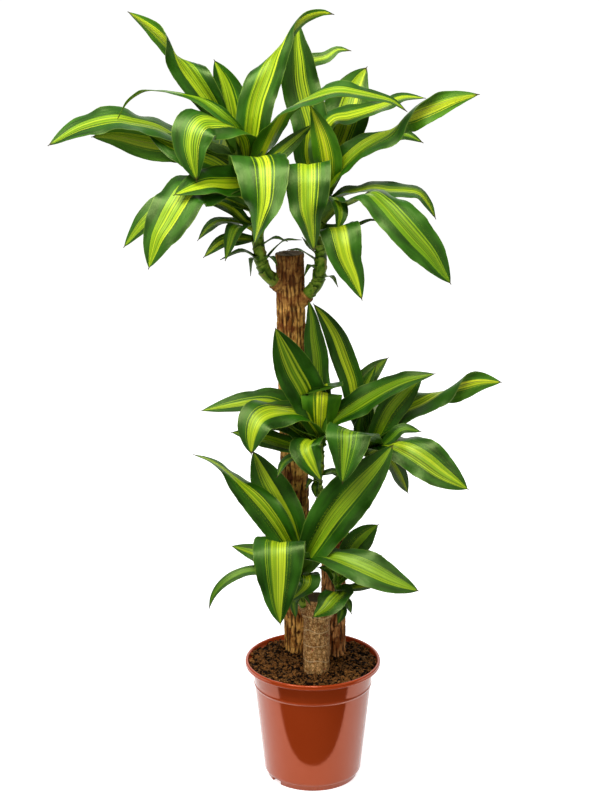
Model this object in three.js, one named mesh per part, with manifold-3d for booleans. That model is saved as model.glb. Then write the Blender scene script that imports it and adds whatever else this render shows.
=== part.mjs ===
// A potted corn plant: three rooted canes of different height in one plastic nursery pot.
// Each cane carries two leafy shoots near its sawn top. The pot is filled with potting soil.
//
// Millimetres, +Z up. The origin is on the pot's axis, at the surface the pot stands on.
// +X is to the right and -Y is towards the viewer.

import * as THREE from "three";
import * as BufferGeometryUtils from "three/addons/utils/BufferGeometryUtils.js";
import Module from "manifold-3d";

const wasm = await Module();
wasm.setup();

// ---------------------------------------------------------------- driving dimensions

// nursery pot, moulded plastic
const POT_HEIGHT = 174;
const RIM_RADIUS = 95;
const RIM_LIP = 7.5; // height of the lip that stands out round the brim
const WALL_TOP_RADIUS = 85;
const RIDGE_HEIGHT = 139; // a thin ridge runs round the wall here, under a steeper band
const RIDGE_RADIUS = 82;
const WALL_FOOT_RADIUS = 68.5;
const FOOT_RADIUS = 64;
const FOOT_HEIGHT = 8;
const WALL = 1.8;
const FLOOR = 3;
const FLOOR_UNDERSIDE = 3; // the floor is raised between the foot ring and the middle boss
const BOSS_RADIUS = 22;
const DRAIN_HOLES = 6;
const DRAIN_RADIUS = 4.5;
const DRAIN_CIRCLE = 42;
const FOOT_NOTCHES = [-143, -9, 104]; // degrees round from +X
const NOTCH_WIDTH = 18;
const NOTCH_HEIGHT = 5.5;
const POT_SIDES = 40;

// potting soil
const SOIL_LEVEL = 169;
const SOIL_GAP = 0.4; // between soil and pot, and between a cane and its hole
const ROOT_DEPTH = 105; // how far a cane goes down into the soil

// canes: centre line from foot to sawn top, and radius
const CANES = {
  cane_tall: { foot: [-18, 45], top: [-32, 45, 745], radius: 19.2, sides: 16, rings: 18 },
  cane_medium: { foot: [29, 24], top: [29, 24, 401], radius: 17, sides: 16, rings: 10 },
  cane_short: { foot: [5, -29], top: [5, -29, 278], radius: 17.7, sides: 16, rings: 8 },
};
const BARK_RELIEF = 0.9; // greatest height of the bark above the cane's radius
const COLLAR_RADIUS = 10.5; // swelling of the bark where a shoot leaves the cane
const SHOOT_GAP = 0.35; // between a shoot's base and the bark

// leaves
const BLADE_THICKNESS = 1.1;
const BASE_SHARE = 0.22; // width of the sheathing base, as a share of the greatest width
const TIP_WIDTH = 1.6;
const FOLD_AT_BASE = 62; // degrees each half is folded up, beside the stem
const FOLD_ALONG = 11; // degrees each half is folded up, all along most leaves
const WAVE_SHARE = 0.06; // height of the edge's waves, as a share of the width
const LEFT_WAVE = 85; // length of a wave along each edge
const RIGHT_WAVE = 70;
const STATION_SPACING = 52; // length of blade from one cross-section to the next

const TWIST_REACH = 0.17; // a twist is spread over this share of the length, each way
const PHASE_STEP = 1.7; // each leaf's waves start further on than those of the leaf before
const STEM_RING_SPACING = 18;
const SLIVER = 0.2; // detail smaller than this is smoothed away where bodies are joined

// ---------------------------------------------------------------- the six shoots
//
// stem: the centre line, from inside the cane to the crown.
// leaf(rib, wide, up, more): rib is the midrib from the stem to the tip, wide the greatest width,
// and up the way the upper side looks. A twisted leaf has tipUp for its outer part and turn for
// where the twist lies; widest is where along the leaf it is widest. Both are shares of its length.
// fold is how far each half is folded up along the midrib, in degrees.

const leaf = (rib, wide, up, more = {}) => (
  { rib, wide, up, tipUp: up, turn: 0.6, widest: 0.5, fold: FOLD_ALONG, ...more }
);
const LEVEL = [0, -0.3, 1]; // upper side up, tipped a little to the viewer
const VIEWER = [0, -1, 0.2]; // upper side to the viewer
const AWAY = [0, 0.8, 0.6]; // underside to the viewer

const SHOOTS = {
  shoot_tall_left: {
    cane: "cane_tall",
    stem: [[-40, 43, 698], [-52, 38, 708], [-66, 32, 725], [-73, 24, 758], [-76, 16, 803], [-84, 12, 844],
      [-97, 10, 883], [-109, 8, 919]],
    thick: [9.5, 7],
    leaves: [
      leaf([[-105, 10, 910], [-138, -6, 962], [-158, -12, 992], [-174, -18, 1014], [-192, -20, 1036],
        [-212, -22, 1054], [-234, -24, 1070]], 46, [-0.2, -1, 0.4],
        { tipUp: [0.2, 1, 0.5], turn: 0.62, widest: 0.4, fold: 18 }),
      leaf([[-95, 10, 865], [-128, 22, 880], [-174, 24, 900], [-206, 20, 918], [-236, 14, 926],
        [-262, 8, 930], [-302, 2, 921], [-344, -4, 899]], 52, [0, -0.1, 1],
        { tipUp: [0, -0.5, 0.9], turn: 0.45, widest: 0.7 }),
      leaf([[-90, 8, 875], [-100, -20, 920], [-116, -34, 940], [-142, -34, 960], [-165, -30, 967],
        [-191, -20, 970], [-216, -8, 970], [-230, 0, 963], [-243, 5, 952], [-254, 5, 934]], 24,
        [0, -0.6, 0.8], { tipUp: [0, 0.2, 1], turn: 0.5, widest: 0.3 }),
      leaf([[-90, 15, 855], [-150, 35, 885], [-215, 35, 895], [-260, 30, 905], [-290, 25, 905]], 46,
        AWAY, { widest: 0.6 }),
      leaf([[-90, 15, 840], [-130, 16, 872], [-162, 16, 884], [-188, 16, 896], [-216, 16, 910]], 50,
        [0, -0.8, 0.6]),
      leaf([[-95, 10, 890], [-101, 6, 916], [-107, 5, 952], [-115, 5, 980], [-128, 5, 1006]], 46,
        [-0.3, -1, 0.1]),
      leaf([[-84, 10, 855], [-80, -6, 920], [-74, -8, 955], [-62, -6, 988], [-52, -2, 1012], [-42, 2, 1028],
        [-28, 8, 1046], [-10, 14, 1060], [10, 18, 1066], [24, 22, 1064]], 50, VIEWER,
        { tipUp: [-0.3, -0.2, 0.9], turn: 0.52, widest: 0.25 }),
      leaf([[-90, 10, 862], [-96, -22, 908], [-114, -44, 932], [-138, -62, 940], [-151, -74, 931],
        [-156, -80, 911], [-154, -82, 890], [-149, -80, 866]], 60, [0.1, 0.2, 1],
        { tipUp: [-0.2, -0.9, 0.4], turn: 0.5, widest: 0.6, fold: 6 }),
      leaf([[-74, 8, 866], [-68, 2, 892], [-58, 2, 918]], 18, VIEWER),
      leaf([[-80, 5, 815], [-106, -20, 838], [-138, -50, 850], [-160, -72, 851], [-173, -86, 835],
        [-186, -94, 814], [-198, -100, 794], [-210, -104, 758]], 66, [-0.4, -0.5, 0.8],
        { tipUp: [-0.3, -1, 0.4], turn: 0.45, widest: 0.6 }),
      leaf([[-80, 20, 805], [-152, 10, 832], [-194, 5, 820], [-224, 0, 796], [-250, 0, 764]], 40,
        [0, -0.6, 0.8], { widest: 0.6 }),
      leaf([[-80, 0, 825], [-90, -20, 850], [-116, -45, 856], [-136, -65, 860], [-158, -82, 856],
        [-176, -95, 850]], 52, [0, -0.8, 0.7]),
      leaf([[-75, 5, 830], [-78, -40, 874], [-72, -85, 896], [-66, -112, 892], [-64, -126, 874],
        [-64, -134, 848], [-69, -134, 822], [-75, -130, 795]], 72, LEVEL, { fold: 6 }),
      leaf([[-78, 12, 788], [-90, 2, 796], [-108, -4, 814], [-130, -6, 824], [-152, -6, 826]], 26,
        [0, -0.5, 0.9], { widest: 0.6 }),
      leaf([[-76, 12, 780], [-98, 4, 794], [-122, -2, 798], [-138, -4, 790], [-152, -4, 774]], 24,
        LEVEL, { widest: 0.65 }),
      leaf([[-75, 10, 775], [-100, -25, 795], [-115, -40, 755]], 30, [-0.2, -0.3, 1]),
      leaf([[-76, 17, 764], [-100, 4, 772], [-122, -4, 770], [-144, -8, 752]], 24, [0, -0.6, 0.8]),
      leaf([[-68, 24, 734], [-94, 10, 756], [-122, 4, 746]], 12, LEVEL),
      leaf([[-68, 26, 734], [-82, 12, 746], [-84, 10, 724]], 11, [-0.5, -0.3, 1]),
      leaf([[-68, 24, 738], [-56, 12, 748], [-48, 8, 736]], 11, [0.5, -0.3, 1]),
      leaf([[-68, 24, 732], [-42, 2, 770], [-18, -6, 774]], 9, LEVEL),
      leaf([[-72, 22, 758], [-52, 8, 774], [-36, 6, 770]], 10, LEVEL),
      leaf([[-75, 15, 850], [-62, -12, 892], [-46, -28, 928], [-34, -36, 948], [-16, -42, 960],
        [10, -52, 971], [32, -58, 976], [56, -60, 973], [76, -60, 969], [98, -60, 963], [116, -60, 951]],
        46, [-0.5, 0.7, 0.3], { tipUp: [0, -0.5, 1], turn: 0.43, widest: 0.45 }),
      leaf([[-74, 8, 844], [-60, -8, 874], [-30, -12, 902], [-2, -10, 926]], 24, [0, -0.8, 0.5]),
      leaf([[-85, 12, 850], [-95, 60, 890], [-110, 110, 895], [-120, 150, 860], [-120, 170, 800]],
        52, [0, 0, 1]),
      leaf([[-80, 14, 830], [-68, 60, 850], [-56, 110, 850], [-52, 150, 815]], 44, [0, 0, 1]),
      leaf([[-85, 14, 860], [-88, 50, 900], [-92, 90, 915], [-95, 130, 900], [-98, 160, 860]],
        44, [0, 0, 1]),
    ],
  },
  shoot_tall_right: {
    cane: "cane_tall",
    stem: [[-22, 43, 676], [-8, 40, 690], [6, 34, 709], [10, 26, 744], [9, 20, 768], [12, 14, 807],
      [19, 10, 843], [21, 10, 870]],
    thick: [9.5, 7],
    leaves: [
      leaf([[15, 15, 815], [-6, 24, 876], [-4, 34, 916], [-12, 40, 948], [-18, 44, 976], [-20, 46, 1002],
        [-22, 48, 1028], [-20, 50, 1051]], 52, VIEWER, { widest: 0.62 }),
      leaf([[20, 20, 835], [-14, 62, 932], [-16, 74, 970], [-12, 80, 990], [-2, 82, 998], [16, 84, 1002],
        [32, 85, 1012], [48, 85, 1011]], 22, [0, -0.8, 0.6],
        { widest: 0.75 }),
      leaf([[20, 15, 825], [24, 30, 880], [34, 45, 908], [42, 55, 930], [48, 62, 950], [58, 68, 972],
        [70, 70, 990]], 66, [-0.1, -1, 0.1], { widest: 0.6 }),
      leaf([[20, 10, 835], [12, 12, 884], [14, 16, 910], [26, 20, 928], [46, 22, 932], [68, 24, 938],
        [92, 25, 946], [116, 25, 956], [144, 25, 956]], 46, [-0.3, -0.35, 0.9],
        { widest: 0.55 }),
      leaf([[20, 5, 825], [18, -18, 872], [14, -28, 902], [6, -30, 928], [-4, -25, 952]], 40,
        [0.2, 1, 0.1], { widest: 0.45 }),
      leaf([[20, 10, 815], [28, -6, 848], [38, -18, 872], [58, -26, 894], [78, -30, 908], [98, -33, 920],
        [114, -34, 936], [132, -34, 946], [150, -32, 952], [174, -28, 960], [192, -24, 964],
        [210, -20, 966]], 50, [-0.3, -0.6, 0.8], { tipUp: [0, 1, 0.3], turn: 0.64 }),
      leaf([[20, 10, 830], [30, 14, 872], [50, 20, 890], [76, 24, 902], [100, 24, 907], [116, 22, 909],
        [128, 20, 906], [142, 20, 899]], 32, [0, -0.1, 1],
        { tipUp: [0.2, -0.7, 0.7], turn: 0.75, widest: 0.6 }),
      leaf([[15, 10, 800], [34, -6, 830], [56, -16, 839], [78, -22, 845], [98, -26, 843], [118, -29, 843],
        [136, -30, 840], [148, -30, 826], [158, -30, 808]], 42, [0, -0.2, 1],
        { tipUp: [0.3, -0.5, 0.8], turn: 0.7 }),
      leaf([[10, 10, 785], [32, -20, 816], [54, -45, 832], [72, -64, 846], [90, -78, 836], [106, -86, 820],
        [126, -92, 798], [146, -95, 776], [160, -95, 756], [174, -95, 736]], 60, [-0.3, 0.4, 0.9],
        { tipUp: [0.2, -1, 0.4], turn: 0.5, widest: 0.68 }),
      leaf([[10, 14, 766], [48, -8, 790], [74, -14, 802], [90, -14, 798]], 10, LEVEL),
      leaf([[15, 10, 810], [-6, -30, 858], [-8, -80, 886], [-8, -102, 874], [-8, -110, 856],
        [-8, -114, 834], [-4, -112, 806], [0, -110, 781]], 58, LEVEL, { widest: 0.58, fold: 6 }),
      leaf([[10, 15, 770], [24, -35, 786], [31, -72, 804], [36, -90, 788], [41, -96, 768], [52, -98, 742],
        [61, -99, 716]], 58, [0.2, -0.3, 1], { widest: 0.6, fold: 6 }),
      leaf([[15, 10, 810], [25, -30, 835], [35, -50, 820], [30, -55, 795]], 26, [0.3, -0.4, 0.9]),
      leaf([[10, 30, 722], [-4, 16, 736], [-12, 12, 722]], 11, [-0.5, -0.3, 1]),
      leaf([[8, 32, 712], [24, 16, 720], [32, 12, 708]], 11, [0.5, -0.3, 1]),
      leaf([[10, 28, 734], [-16, 12, 756], [-32, 8, 758]], 9, LEVEL),
      leaf([[8, 26, 744], [-4, 16, 758], [-14, 14, 772]], 9, LEVEL),
      leaf([[22, 14, 850], [30, 60, 892], [34, 105, 898], [36, 140, 880], [36, 155, 852]], 50, [0, 0, 1]),
      leaf([[18, 16, 830], [14, 60, 845], [8, 110, 835], [4, 150, 790], [2, 165, 745]], 46, [0, 0, 1]),
      leaf([[22, 14, 855], [24, 50, 890], [27, 90, 905], [30, 130, 890], [33, 160, 850]], 44, [0, 0, 1]),
    ],
  },
  shoot_medium_left: {
    cane: "cane_medium",
    stem: [[26, 23, 385], [20, 17, 402], [10, 11, 414], [7, 8, 436], [10, 6, 460], [9, 6, 487], [6, 5, 515],
      [6, 6, 536]],
    thick: [6.5, 5],
    leaves: [
      leaf([[5, 5, 495], [-8, -8, 560], [-26, -22, 600], [-40, -38, 636], [-50, -50, 664]], 56,
        [0.1, -1, 0.2]),
      leaf([[5, 10, 505], [10, 14, 548], [6, 18, 580], [4, 20, 608], [0, 21, 636], [-2, 22, 660],
        [-6, 22, 684]], 34, [0.3, -1, 0.1]),
      leaf([[5, 5, 485], [10, -10, 530], [11, -18, 560], [12, -4, 573], [12, 24, 566], [12, 50, 544]], 58,
        [0, 0.9, 0.4], { tipUp: [0, 0.3, 1], turn: 0.6, widest: 0.6 }),
      leaf([[5, 10, 490], [-12, 0, 512], [-34, 0, 536], [-55, -2, 549], [-78, -5, 552], [-110, -5, 547],
        [-150, -5, 539]], 50, [0, -0.5, 0.9], { widest: 0.36 }),
      leaf([[5, 5, 490], [-12, -10, 530], [-33, -20, 541], [-57, -36, 547], [-74, -50, 541], [-82, -60, 522],
        [-83, -62, 496]], 54, [-0.2, -0.3, 0.9],
        { tipUp: [-0.3, -0.9, 0.3], turn: 0.55, widest: 0.66 }),
      leaf([[5, 10, 480], [-20, 5, 512], [-45, 0, 524], [-80, 0, 515]], 50, [0, -0.6, 0.8]),
      leaf([[10, 8, 475], [-30, 0, 486], [-70, 2, 498], [-110, 2, 506]], 35, [0, -0.5, 0.8]),
      leaf([[8, 5, 480], [-2, -25, 503], [-11, -45, 499], [-3, -55, 480], [10, -55, 456]], 44,
        [-0.2, -0.3, 1], { widest: 0.55 }),
      leaf([[10, 5, 485], [28, 2, 520], [56, -4, 542], [82, -12, 562], [102, -20, 576], [124, -28, 588],
        [160, -36, 599]], 46, [-0.3, -0.6, 0.8], { widest: 0.45 }),
      leaf([[10, 8, 458], [-18, -14, 476], [-38, -34, 476], [-48, -52, 462]], 18, LEVEL),
      leaf([[8, 8, 424], [-2, -2, 440], [-10, -6, 428]], 12, [-0.3, -0.3, 1]),
      leaf([[8, 8, 434], [2, -4, 430], [4, -8, 416]], 10, LEVEL),
      leaf([[10, 8, 440], [28, -4, 452], [40, -8, 440]], 16, LEVEL),
      leaf([[8, 8, 505], [18, 50, 540], [26, 95, 550], [32, 130, 530], [34, 150, 500]], 40, [0, 0, 1]),
    ],
  },
  shoot_medium_right: {
    cane: "cane_medium",
    stem: [[36, 25, 384], [48, 24, 398], [61, 22, 419], [73, 18, 447], [79, 14, 471], [82, 12, 492]],
    thick: [7.5, 5],
    leaves: [
      leaf([[80, 18, 470], [64, 28, 520], [57, 30, 546], [52, 32, 572], [42, 34, 600], [30, 36, 632],
        [15, 36, 658], [1, 36, 676]], 34, [0, -1, 0.1], { widest: 0.62 }),
      leaf([[80, 10, 470], [58, -45, 518], [47, -72, 530], [45, -84, 516], [42, -90, 494], [38, -92, 466]],
        66, LEVEL, { fold: 6 }),
      leaf([[80, 18, 475], [62, 35, 536], [68, 45, 560], [82, 52, 578], [102, 55, 596]], 34,
        [-0.3, -0.8, 0.5], { widest: 0.62 }),
      leaf([[80, 16, 480], [70, 32, 550], [85, 38, 590]], 24, [0, -0.9, 0.3]),
      leaf([[80, 10, 475], [90, -2, 508], [104, -5, 538], [122, -5, 561], [146, -2, 586]], 38,
        [0, -0.9, 0.4], { widest: 0.6 }),
      leaf([[80, 10, 470], [84, 12, 494], [100, 10, 516], [122, 8, 534], [146, 8, 546], [166, 8, 558],
        [184, 8, 566], [206, 10, 572], [228, 10, 576], [254, 12, 574]], 52, [0, -0.6, 0.9],
        { tipUp: [0, 1, 0.3], turn: 0.68, widest: 0.55 }),
      leaf([[80, 8, 468], [102, -14, 500], [120, -20, 518], [144, -20, 514]], 17, [0, -0.7, 0.7],
        { widest: 0.7 }),
      leaf([[78, 10, 460], [98, -15, 492], [114, -28, 496], [132, -38, 492], [150, -45, 482],
        [170, -52, 468], [190, -58, 456], [206, -60, 446]], 56, [-0.3, 0.2, 0.9],
        { tipUp: [0.1, -0.9, 0.5], turn: 0.4, widest: 0.62 }),
      leaf([[78, 15, 460], [97, 12, 470], [114, 8, 450], [130, 4, 419]], 36, [0.5, -0.5, 0.8],
        { widest: 0.6 }),
      leaf([[80, 12, 474], [62, 4, 508], [66, 2, 532]], 16, VIEWER),
      leaf([[80, 16, 470], [88, 60, 510], [94, 105, 515], [98, 145, 485], [100, 165, 450]], 44, [0, 0, 1]),
      leaf([[78, 18, 460], [70, 60, 480], [62, 105, 475], [58, 140, 440], [56, 155, 405]], 46, [0, 0, 1]),
    ],
  },
  shoot_short_left: {
    cane: "cane_short",
    stem: [[-4, -30, 254], [-12, -33, 268], [-19, -36, 284], [-18, -38, 310], [-14, -36, 335],
      [-13, -34, 361]],
    thick: [7.5, 5],
    leaves: [
      leaf([[-15, -35, 330], [-34, -39, 360], [-50, -41, 388], [-66, -43, 412], [-82, -44, 431],
        [-100, -44, 449], [-118, -42, 465], [-138, -38, 478], [-160, -35, 486]], 46, [-0.2, -0.8, 0.5],
        { tipUp: [0, 0, 1], turn: 0.6, widest: 0.36 }),
      leaf([[-15, -35, 340], [-26, -29, 368], [-36, -27, 394], [-50, -24, 420], [-66, -21, 450],
        [-81, -20, 485]], 54, [0.1, -1, 0.2], { widest: 0.55 }),
      leaf([[-15, -40, 325], [0, -50, 360], [25, -55, 405], [55, -60, 445], [85, -60, 480], [105, -55, 505]],
        66, [0.3, -0.9, 0.3], { widest: 0.52 }),
      leaf([[-15, -40, 315], [-30, -58, 345], [-41, -86, 372], [-45, -108, 388], [-46, -124, 384],
        [-46, -134, 366], [-46, -138, 342], [-46, -140, 312], [-44, -140, 285]], 70, LEVEL, { fold: 6 }),
      leaf([[-15, -35, 320], [-50, -40, 338], [-85, -35, 347], [-110, -35, 355]], 32, [0, -0.6, 0.8]),
      leaf([[-18, -38, 306], [-50, -40, 319], [-84, -42, 322], [-102, -45, 318], [-118, -48, 310],
        [-130, -50, 299], [-138, -52, 286], [-142, -52, 272]], 17, [0, -0.6, 0.8]),
      leaf([[-15, -40, 305], [-8, -65, 323], [-9, -80, 314], [-31, -85, 295]], 34, [0.1, -0.3, 1]),
      leaf([[-15, -40, 320], [8, -56, 346], [30, -68, 350], [54, -78, 346], [78, -86, 338], [102, -92, 328],
        [124, -95, 320], [140, -95, 314]], 52, [-0.3, 0.2, 0.9],
        { tipUp: [0.1, -0.7, 0.7], turn: 0.34, widest: 0.6 }),
      leaf([[-18, -36, 276], [-26, -50, 278], [-24, -54, 258]], 13, [-0.3, -0.3, 1]),
      leaf([[-18, -38, 290], [-12, -54, 292], [-4, -58, 280]], 8, LEVEL),
      leaf([[-15, -34, 330], [4, -36, 380], [16, -36, 402], [36, -36, 428]], 30, [0.2, -1, 0.2]),
      leaf([[-15, -34, 340], [-40, -5, 380], [-62, 40, 395], [-70, 85, 385], [-72, 115, 350]],
        34, [0, 0, 1]),
    ],
  },
  shoot_short_right: {
    cane: "cane_short",
    stem: [[14, -30, 250], [24, -32, 262], [33, -36, 276], [34, -36, 297], [30, -34, 317]],
    thick: [7, 4.5],
    leaves: [
      leaf([[34, -35, 276], [37, -60, 295], [27, -72, 291], [17, -82, 283], [0, -90, 274]], 44,
        [-0.2, -0.4, 0.9]),
      leaf([[30, -35, 300], [40, -32, 312], [46, -30, 330], [56, -28, 350], [72, -26, 368], [88, -25, 382]],
        38, [0.1, -0.9, 0.4], { widest: 0.6 }),
      leaf([[34, -36, 288], [54, -50, 300], [82, -56, 304]], 22, LEVEL),
      leaf([[34, -36, 280], [46, -52, 280], [52, -56, 266]], 15, [0.3, -0.4, 0.9]),
      leaf([[34, -36, 294], [24, -26, 316], [8, -20, 318]], 14, [0, -0.8, 0.5]),
      leaf([[33, -36, 272], [40, -52, 268], [34, -56, 250]], 14, [0.2, -0.3, 1]),
      leaf([[32, -35, 296], [54, -10, 314], [74, 30, 316], [86, 65, 294], [90, 85, 265]], 40, [0, 0, 1]),
    ],
  },
};

// ---------------------------------------------------------------- solids


const vec = (list) => new THREE.Vector3(...list);

/** A closed three.js geometry as a solid that can be cut and joined. */
function solid(geometry) {
  const bare = geometry.index ? geometry.clone() : BufferGeometryUtils.mergeVertices(geometry, 1e-5);
  for (const name of Object.keys(bare.attributes)) {
    if (name !== "position") bare.deleteAttribute(name);
  }
  const merged = BufferGeometryUtils.mergeVertices(bare, 1e-5);
  return new wasm.Manifold(new wasm.Mesh({
    numProp: 3,
    vertProperties: Float32Array.from(merged.attributes.position.array),
    triVerts: Uint32Array.from(merged.index.array),
  }));
}

/** The largest connected piece, without slivers: scraps are dropped and sealed hollows filled. */
function mainPiece(body) {
  const pieces = body.simplify(SLIVER).decompose();
  return pieces.reduce((best, piece) => (piece.volume() > best.volume() ? piece : best));
}

/** A named mesh from a solid. */
function part(name, body, material) {
  const { vertProperties, triVerts } = body.getMesh();
  const geometry = new THREE.BufferGeometry();
  geometry.setAttribute("position", new THREE.BufferAttribute(vertProperties, 3));
  geometry.setIndex(new THREE.BufferAttribute(triVerts, 1));
  const faceted = geometry.toNonIndexed();
  faceted.computeVertexNormals();
  const mesh = new THREE.Mesh(BufferGeometryUtils.mergeVertices(faceted), material);
  mesh.name = name;
  return mesh;
}

/** Turns a profile of [radius, height] pairs, which starts and ends on the axis, about +Z. */
function turned(profile, sides) {
  const geometry = new THREE.LatheGeometry(profile.map(([r, z]) => new THREE.Vector2(r, z)), sides);
  return geometry.rotateX(Math.PI / 2);
}

/** A round rod along a curve. radiusAt(share, angle) gives its radius; both ends are capped. */
function rod(curve, radiusAt, sides, rings) {
  const geometry = new THREE.CylinderGeometry(1, 1, 1, sides, rings);
  for (const name of ["normal", "uv"]) geometry.deleteAttribute(name);
  const body = BufferGeometryUtils.mergeVertices(geometry);
  const place = body.attributes.position;
  for (let i = 0; i < place.count; i++) {
    const share = place.getY(i) + 0.5;
    const out = Math.hypot(place.getX(i), place.getZ(i));
    const angle = Math.atan2(place.getZ(i), place.getX(i));
    const along = curve.getTangentAt(share);
    const side = new THREE.Vector3(1, 0, 0).addScaledVector(along, -along.x).normalize();
    const front = new THREE.Vector3().crossVectors(along, side);
    const point = curve.getPointAt(share);
    const reach = out * radiusAt(share, angle);
    point.addScaledVector(side, reach * Math.cos(angle)).addScaledVector(front, -reach * Math.sin(angle));
    place.setXYZ(i, point.x, point.y, point.z);
  }
  return body;
}

// ---------------------------------------------------------------- leaves and shoots

/** Width of a blade at a share of its length, as a share of its greatest width. */
function outline(share, widest) {
  if (share < widest) {
    return BASE_SHARE + (1 - BASE_SHARE) * Math.sin((Math.PI / 2) * (share / widest)) ** 1.3;
  }
  return Math.max(0, Math.cos((Math.PI / 2) * ((share - widest) / (1 - widest)))) ** 0.85;
}

/** A thin waved blade, folded up a little along its midrib, with both faces split alike. */
function blade({ rib, wide, up, tipUp, turn, widest, fold }, phase) {
  const curve = through(rib);
  const length = curve.getLength();
  const rows = THREE.MathUtils.clamp(Math.round(length / STATION_SPACING), 3, 8);
  const places = [];
  for (let row = 0; row <= rows; row++) {
    const share = row / rows;
    const along = curve.getTangentAt(share);
    const turned = THREE.MathUtils.smoothstep(share, turn - TWIST_REACH, turn + TWIST_REACH);
    const look = vec(up).normalize().lerp(vec(tipUp).normalize(), turned);
    const across = new THREE.Vector3().crossVectors(along, look).normalize();
    const normal = new THREE.Vector3().crossVectors(across, along);
    const half = Math.max(TIP_WIDTH, wide * outline(share, widest)) / 2;
    const lift = THREE.MathUtils.degToRad(FOLD_AT_BASE * (1 - share) ** 4 + fold);
    const calm = Math.min(1, (1 - share) * 5) * outline(share, widest);
    for (const side of [-1, 0, 1]) {
      const wave = side < 0 ? LEFT_WAVE : RIGHT_WAVE;
      const lag = side < 0 ? phase : phase + 2.1;
      const ripple = WAVE_SHARE * wide * calm * Math.sin((2 * Math.PI * share * length) / wave + lag);
      const middle = curve.getPointAt(share).addScaledVector(across, side * half * Math.cos(lift));
      middle.addScaledVector(normal, Math.abs(side) * (half * Math.sin(lift) + ripple));
      for (const face of [0.5, -0.5]) {
        const point = middle.clone().addScaledVector(normal, face * BLADE_THICKNESS);
        places.push(point.x, point.y, point.z);
      }
    }
  }
  const at = (row, side, face) => row * 6 + side * 2 + face; // face 0 is the upper one
  const triangles = [];
  const quad = (a, b, c, d) => triangles.push(a, b, c, b, d, c);
  for (let row = 0; row < rows; row++) {
    for (let side = 0; side < 2; side++) {
      const [a, b, c, d] = [[row, side], [row, side + 1], [row + 1, side], [row + 1, side + 1]];
      quad(at(...a, 0), at(...b, 0), at(...c, 0), at(...d, 0));
      triangles.push(at(...a, 1), at(...c, 1), at(...b, 1), at(...b, 1), at(...c, 1), at(...d, 1));
    }
    quad(at(row, 0, 0), at(row + 1, 0, 0), at(row, 0, 1), at(row + 1, 0, 1));
    quad(at(row, 2, 1), at(row + 1, 2, 1), at(row, 2, 0), at(row + 1, 2, 0));
  }
  for (let side = 0; side < 2; side++) {
    quad(at(0, side, 0), at(0, side, 1), at(0, side + 1, 0), at(0, side + 1, 1));
    quad(at(rows, side, 1), at(rows, side, 0), at(rows, side + 1, 1), at(rows, side + 1, 0));
  }
  const geometry = new THREE.BufferGeometry();
  geometry.setAttribute("position", new THREE.Float32BufferAttribute(places, 3));
  geometry.setIndex(triangles);
  return geometry;
}

/** A smooth curve through hand-placed points. */
function through(points) {
  return new THREE.CatmullRomCurve3(points.map(vec), false, "catmullrom", 0.5);
}

/** The stem of a shoot, thinning towards its crown. */
function stem({ stem: line, thick }) {
  const curve = through(line);
  const rings = Math.round(curve.getLength() / STEM_RING_SPACING);
  return rod(curve, (share) => THREE.MathUtils.lerp(...thick, share), 8, rings);
}

/** A leaf whose rib starts on the nearest point of the stem's centre line. */
function rooted(one, stemLine) {
  const start = vec(one.rib[0]);
  const nearest = through(stemLine).getSpacedPoints(80)
    .reduce((best, point) => (point.distanceTo(start) < best.distanceTo(start) ? point : best));
  return { ...one, rib: [nearest.toArray(), ...one.rib.slice(1)] };
}

/** A shoot: its stem and leaves as one body, cut clear of the bark it grows from. */
function shoot(spec, bark) {
  const blades = spec.leaves.map((one, i) => solid(blade(rooted(one, spec.stem), i * PHASE_STEP)));
  const whole = wasm.Manifold.union([solid(stem(spec)), ...blades]);
  return mainPiece(whole.subtract(bark));
}

// ---------------------------------------------------------------- canes

/** The straight centre line of a cane, from its rooted end to its sawn top. */
function caneLine({ foot, top }) {
  return new THREE.LineCurve3(vec([...foot, SOIL_LEVEL - ROOT_DEPTH]), vec(top));
}

/** A cane with its bark and the collars of its shoots; grow makes it fatter all round. */
function cane(name, grow = 0) {
  const { radius, sides, rings } = CANES[name];
  const curve = caneLine(CANES[name]);
  const length = curve.getLength();
  const barkRadius = (share, angle) => {
    const height = share * length;
    const furrows = 0.6 * Math.sin(4 * angle + height / 60) + 0.4 * Math.sin(7 * angle - height / 45);
    return radius + BARK_RELIEF * furrows + grow;
  };
  const collars = Object.values(SHOOTS).filter((one) => one.cane === name).map(({ stem: line, thick }) => {
    const collarAt = (share) => THREE.MathUtils.lerp(COLLAR_RADIUS, thick[0] + 1, share) + grow;
    return solid(rod(through(line.slice(0, 2)), collarAt, 10, 1));
  });
  return wasm.Manifold.union([solid(rod(curve, barkRadius, sides, rings)), ...collars]);
}

// ---------------------------------------------------------------- pot and soil

/** The inside of the pot, from the floor's middle to the brim, moved in by a gap. */
function potInside(gap) {
  const floor = FLOOR_UNDERSIDE + FLOOR + gap;
  return [
    [0, floor], [FOOT_RADIUS - 1 - gap, floor], [WALL_FOOT_RADIUS - WALL - gap, FOOT_HEIGHT + 3 + gap],
    [RIDGE_RADIUS - WALL - gap, RIDGE_HEIGHT], [WALL_TOP_RADIUS - WALL - gap, POT_HEIGHT - 12],
    [WALL_TOP_RADIUS + 3.5 - gap, POT_HEIGHT - 7],
  ];
}

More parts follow.
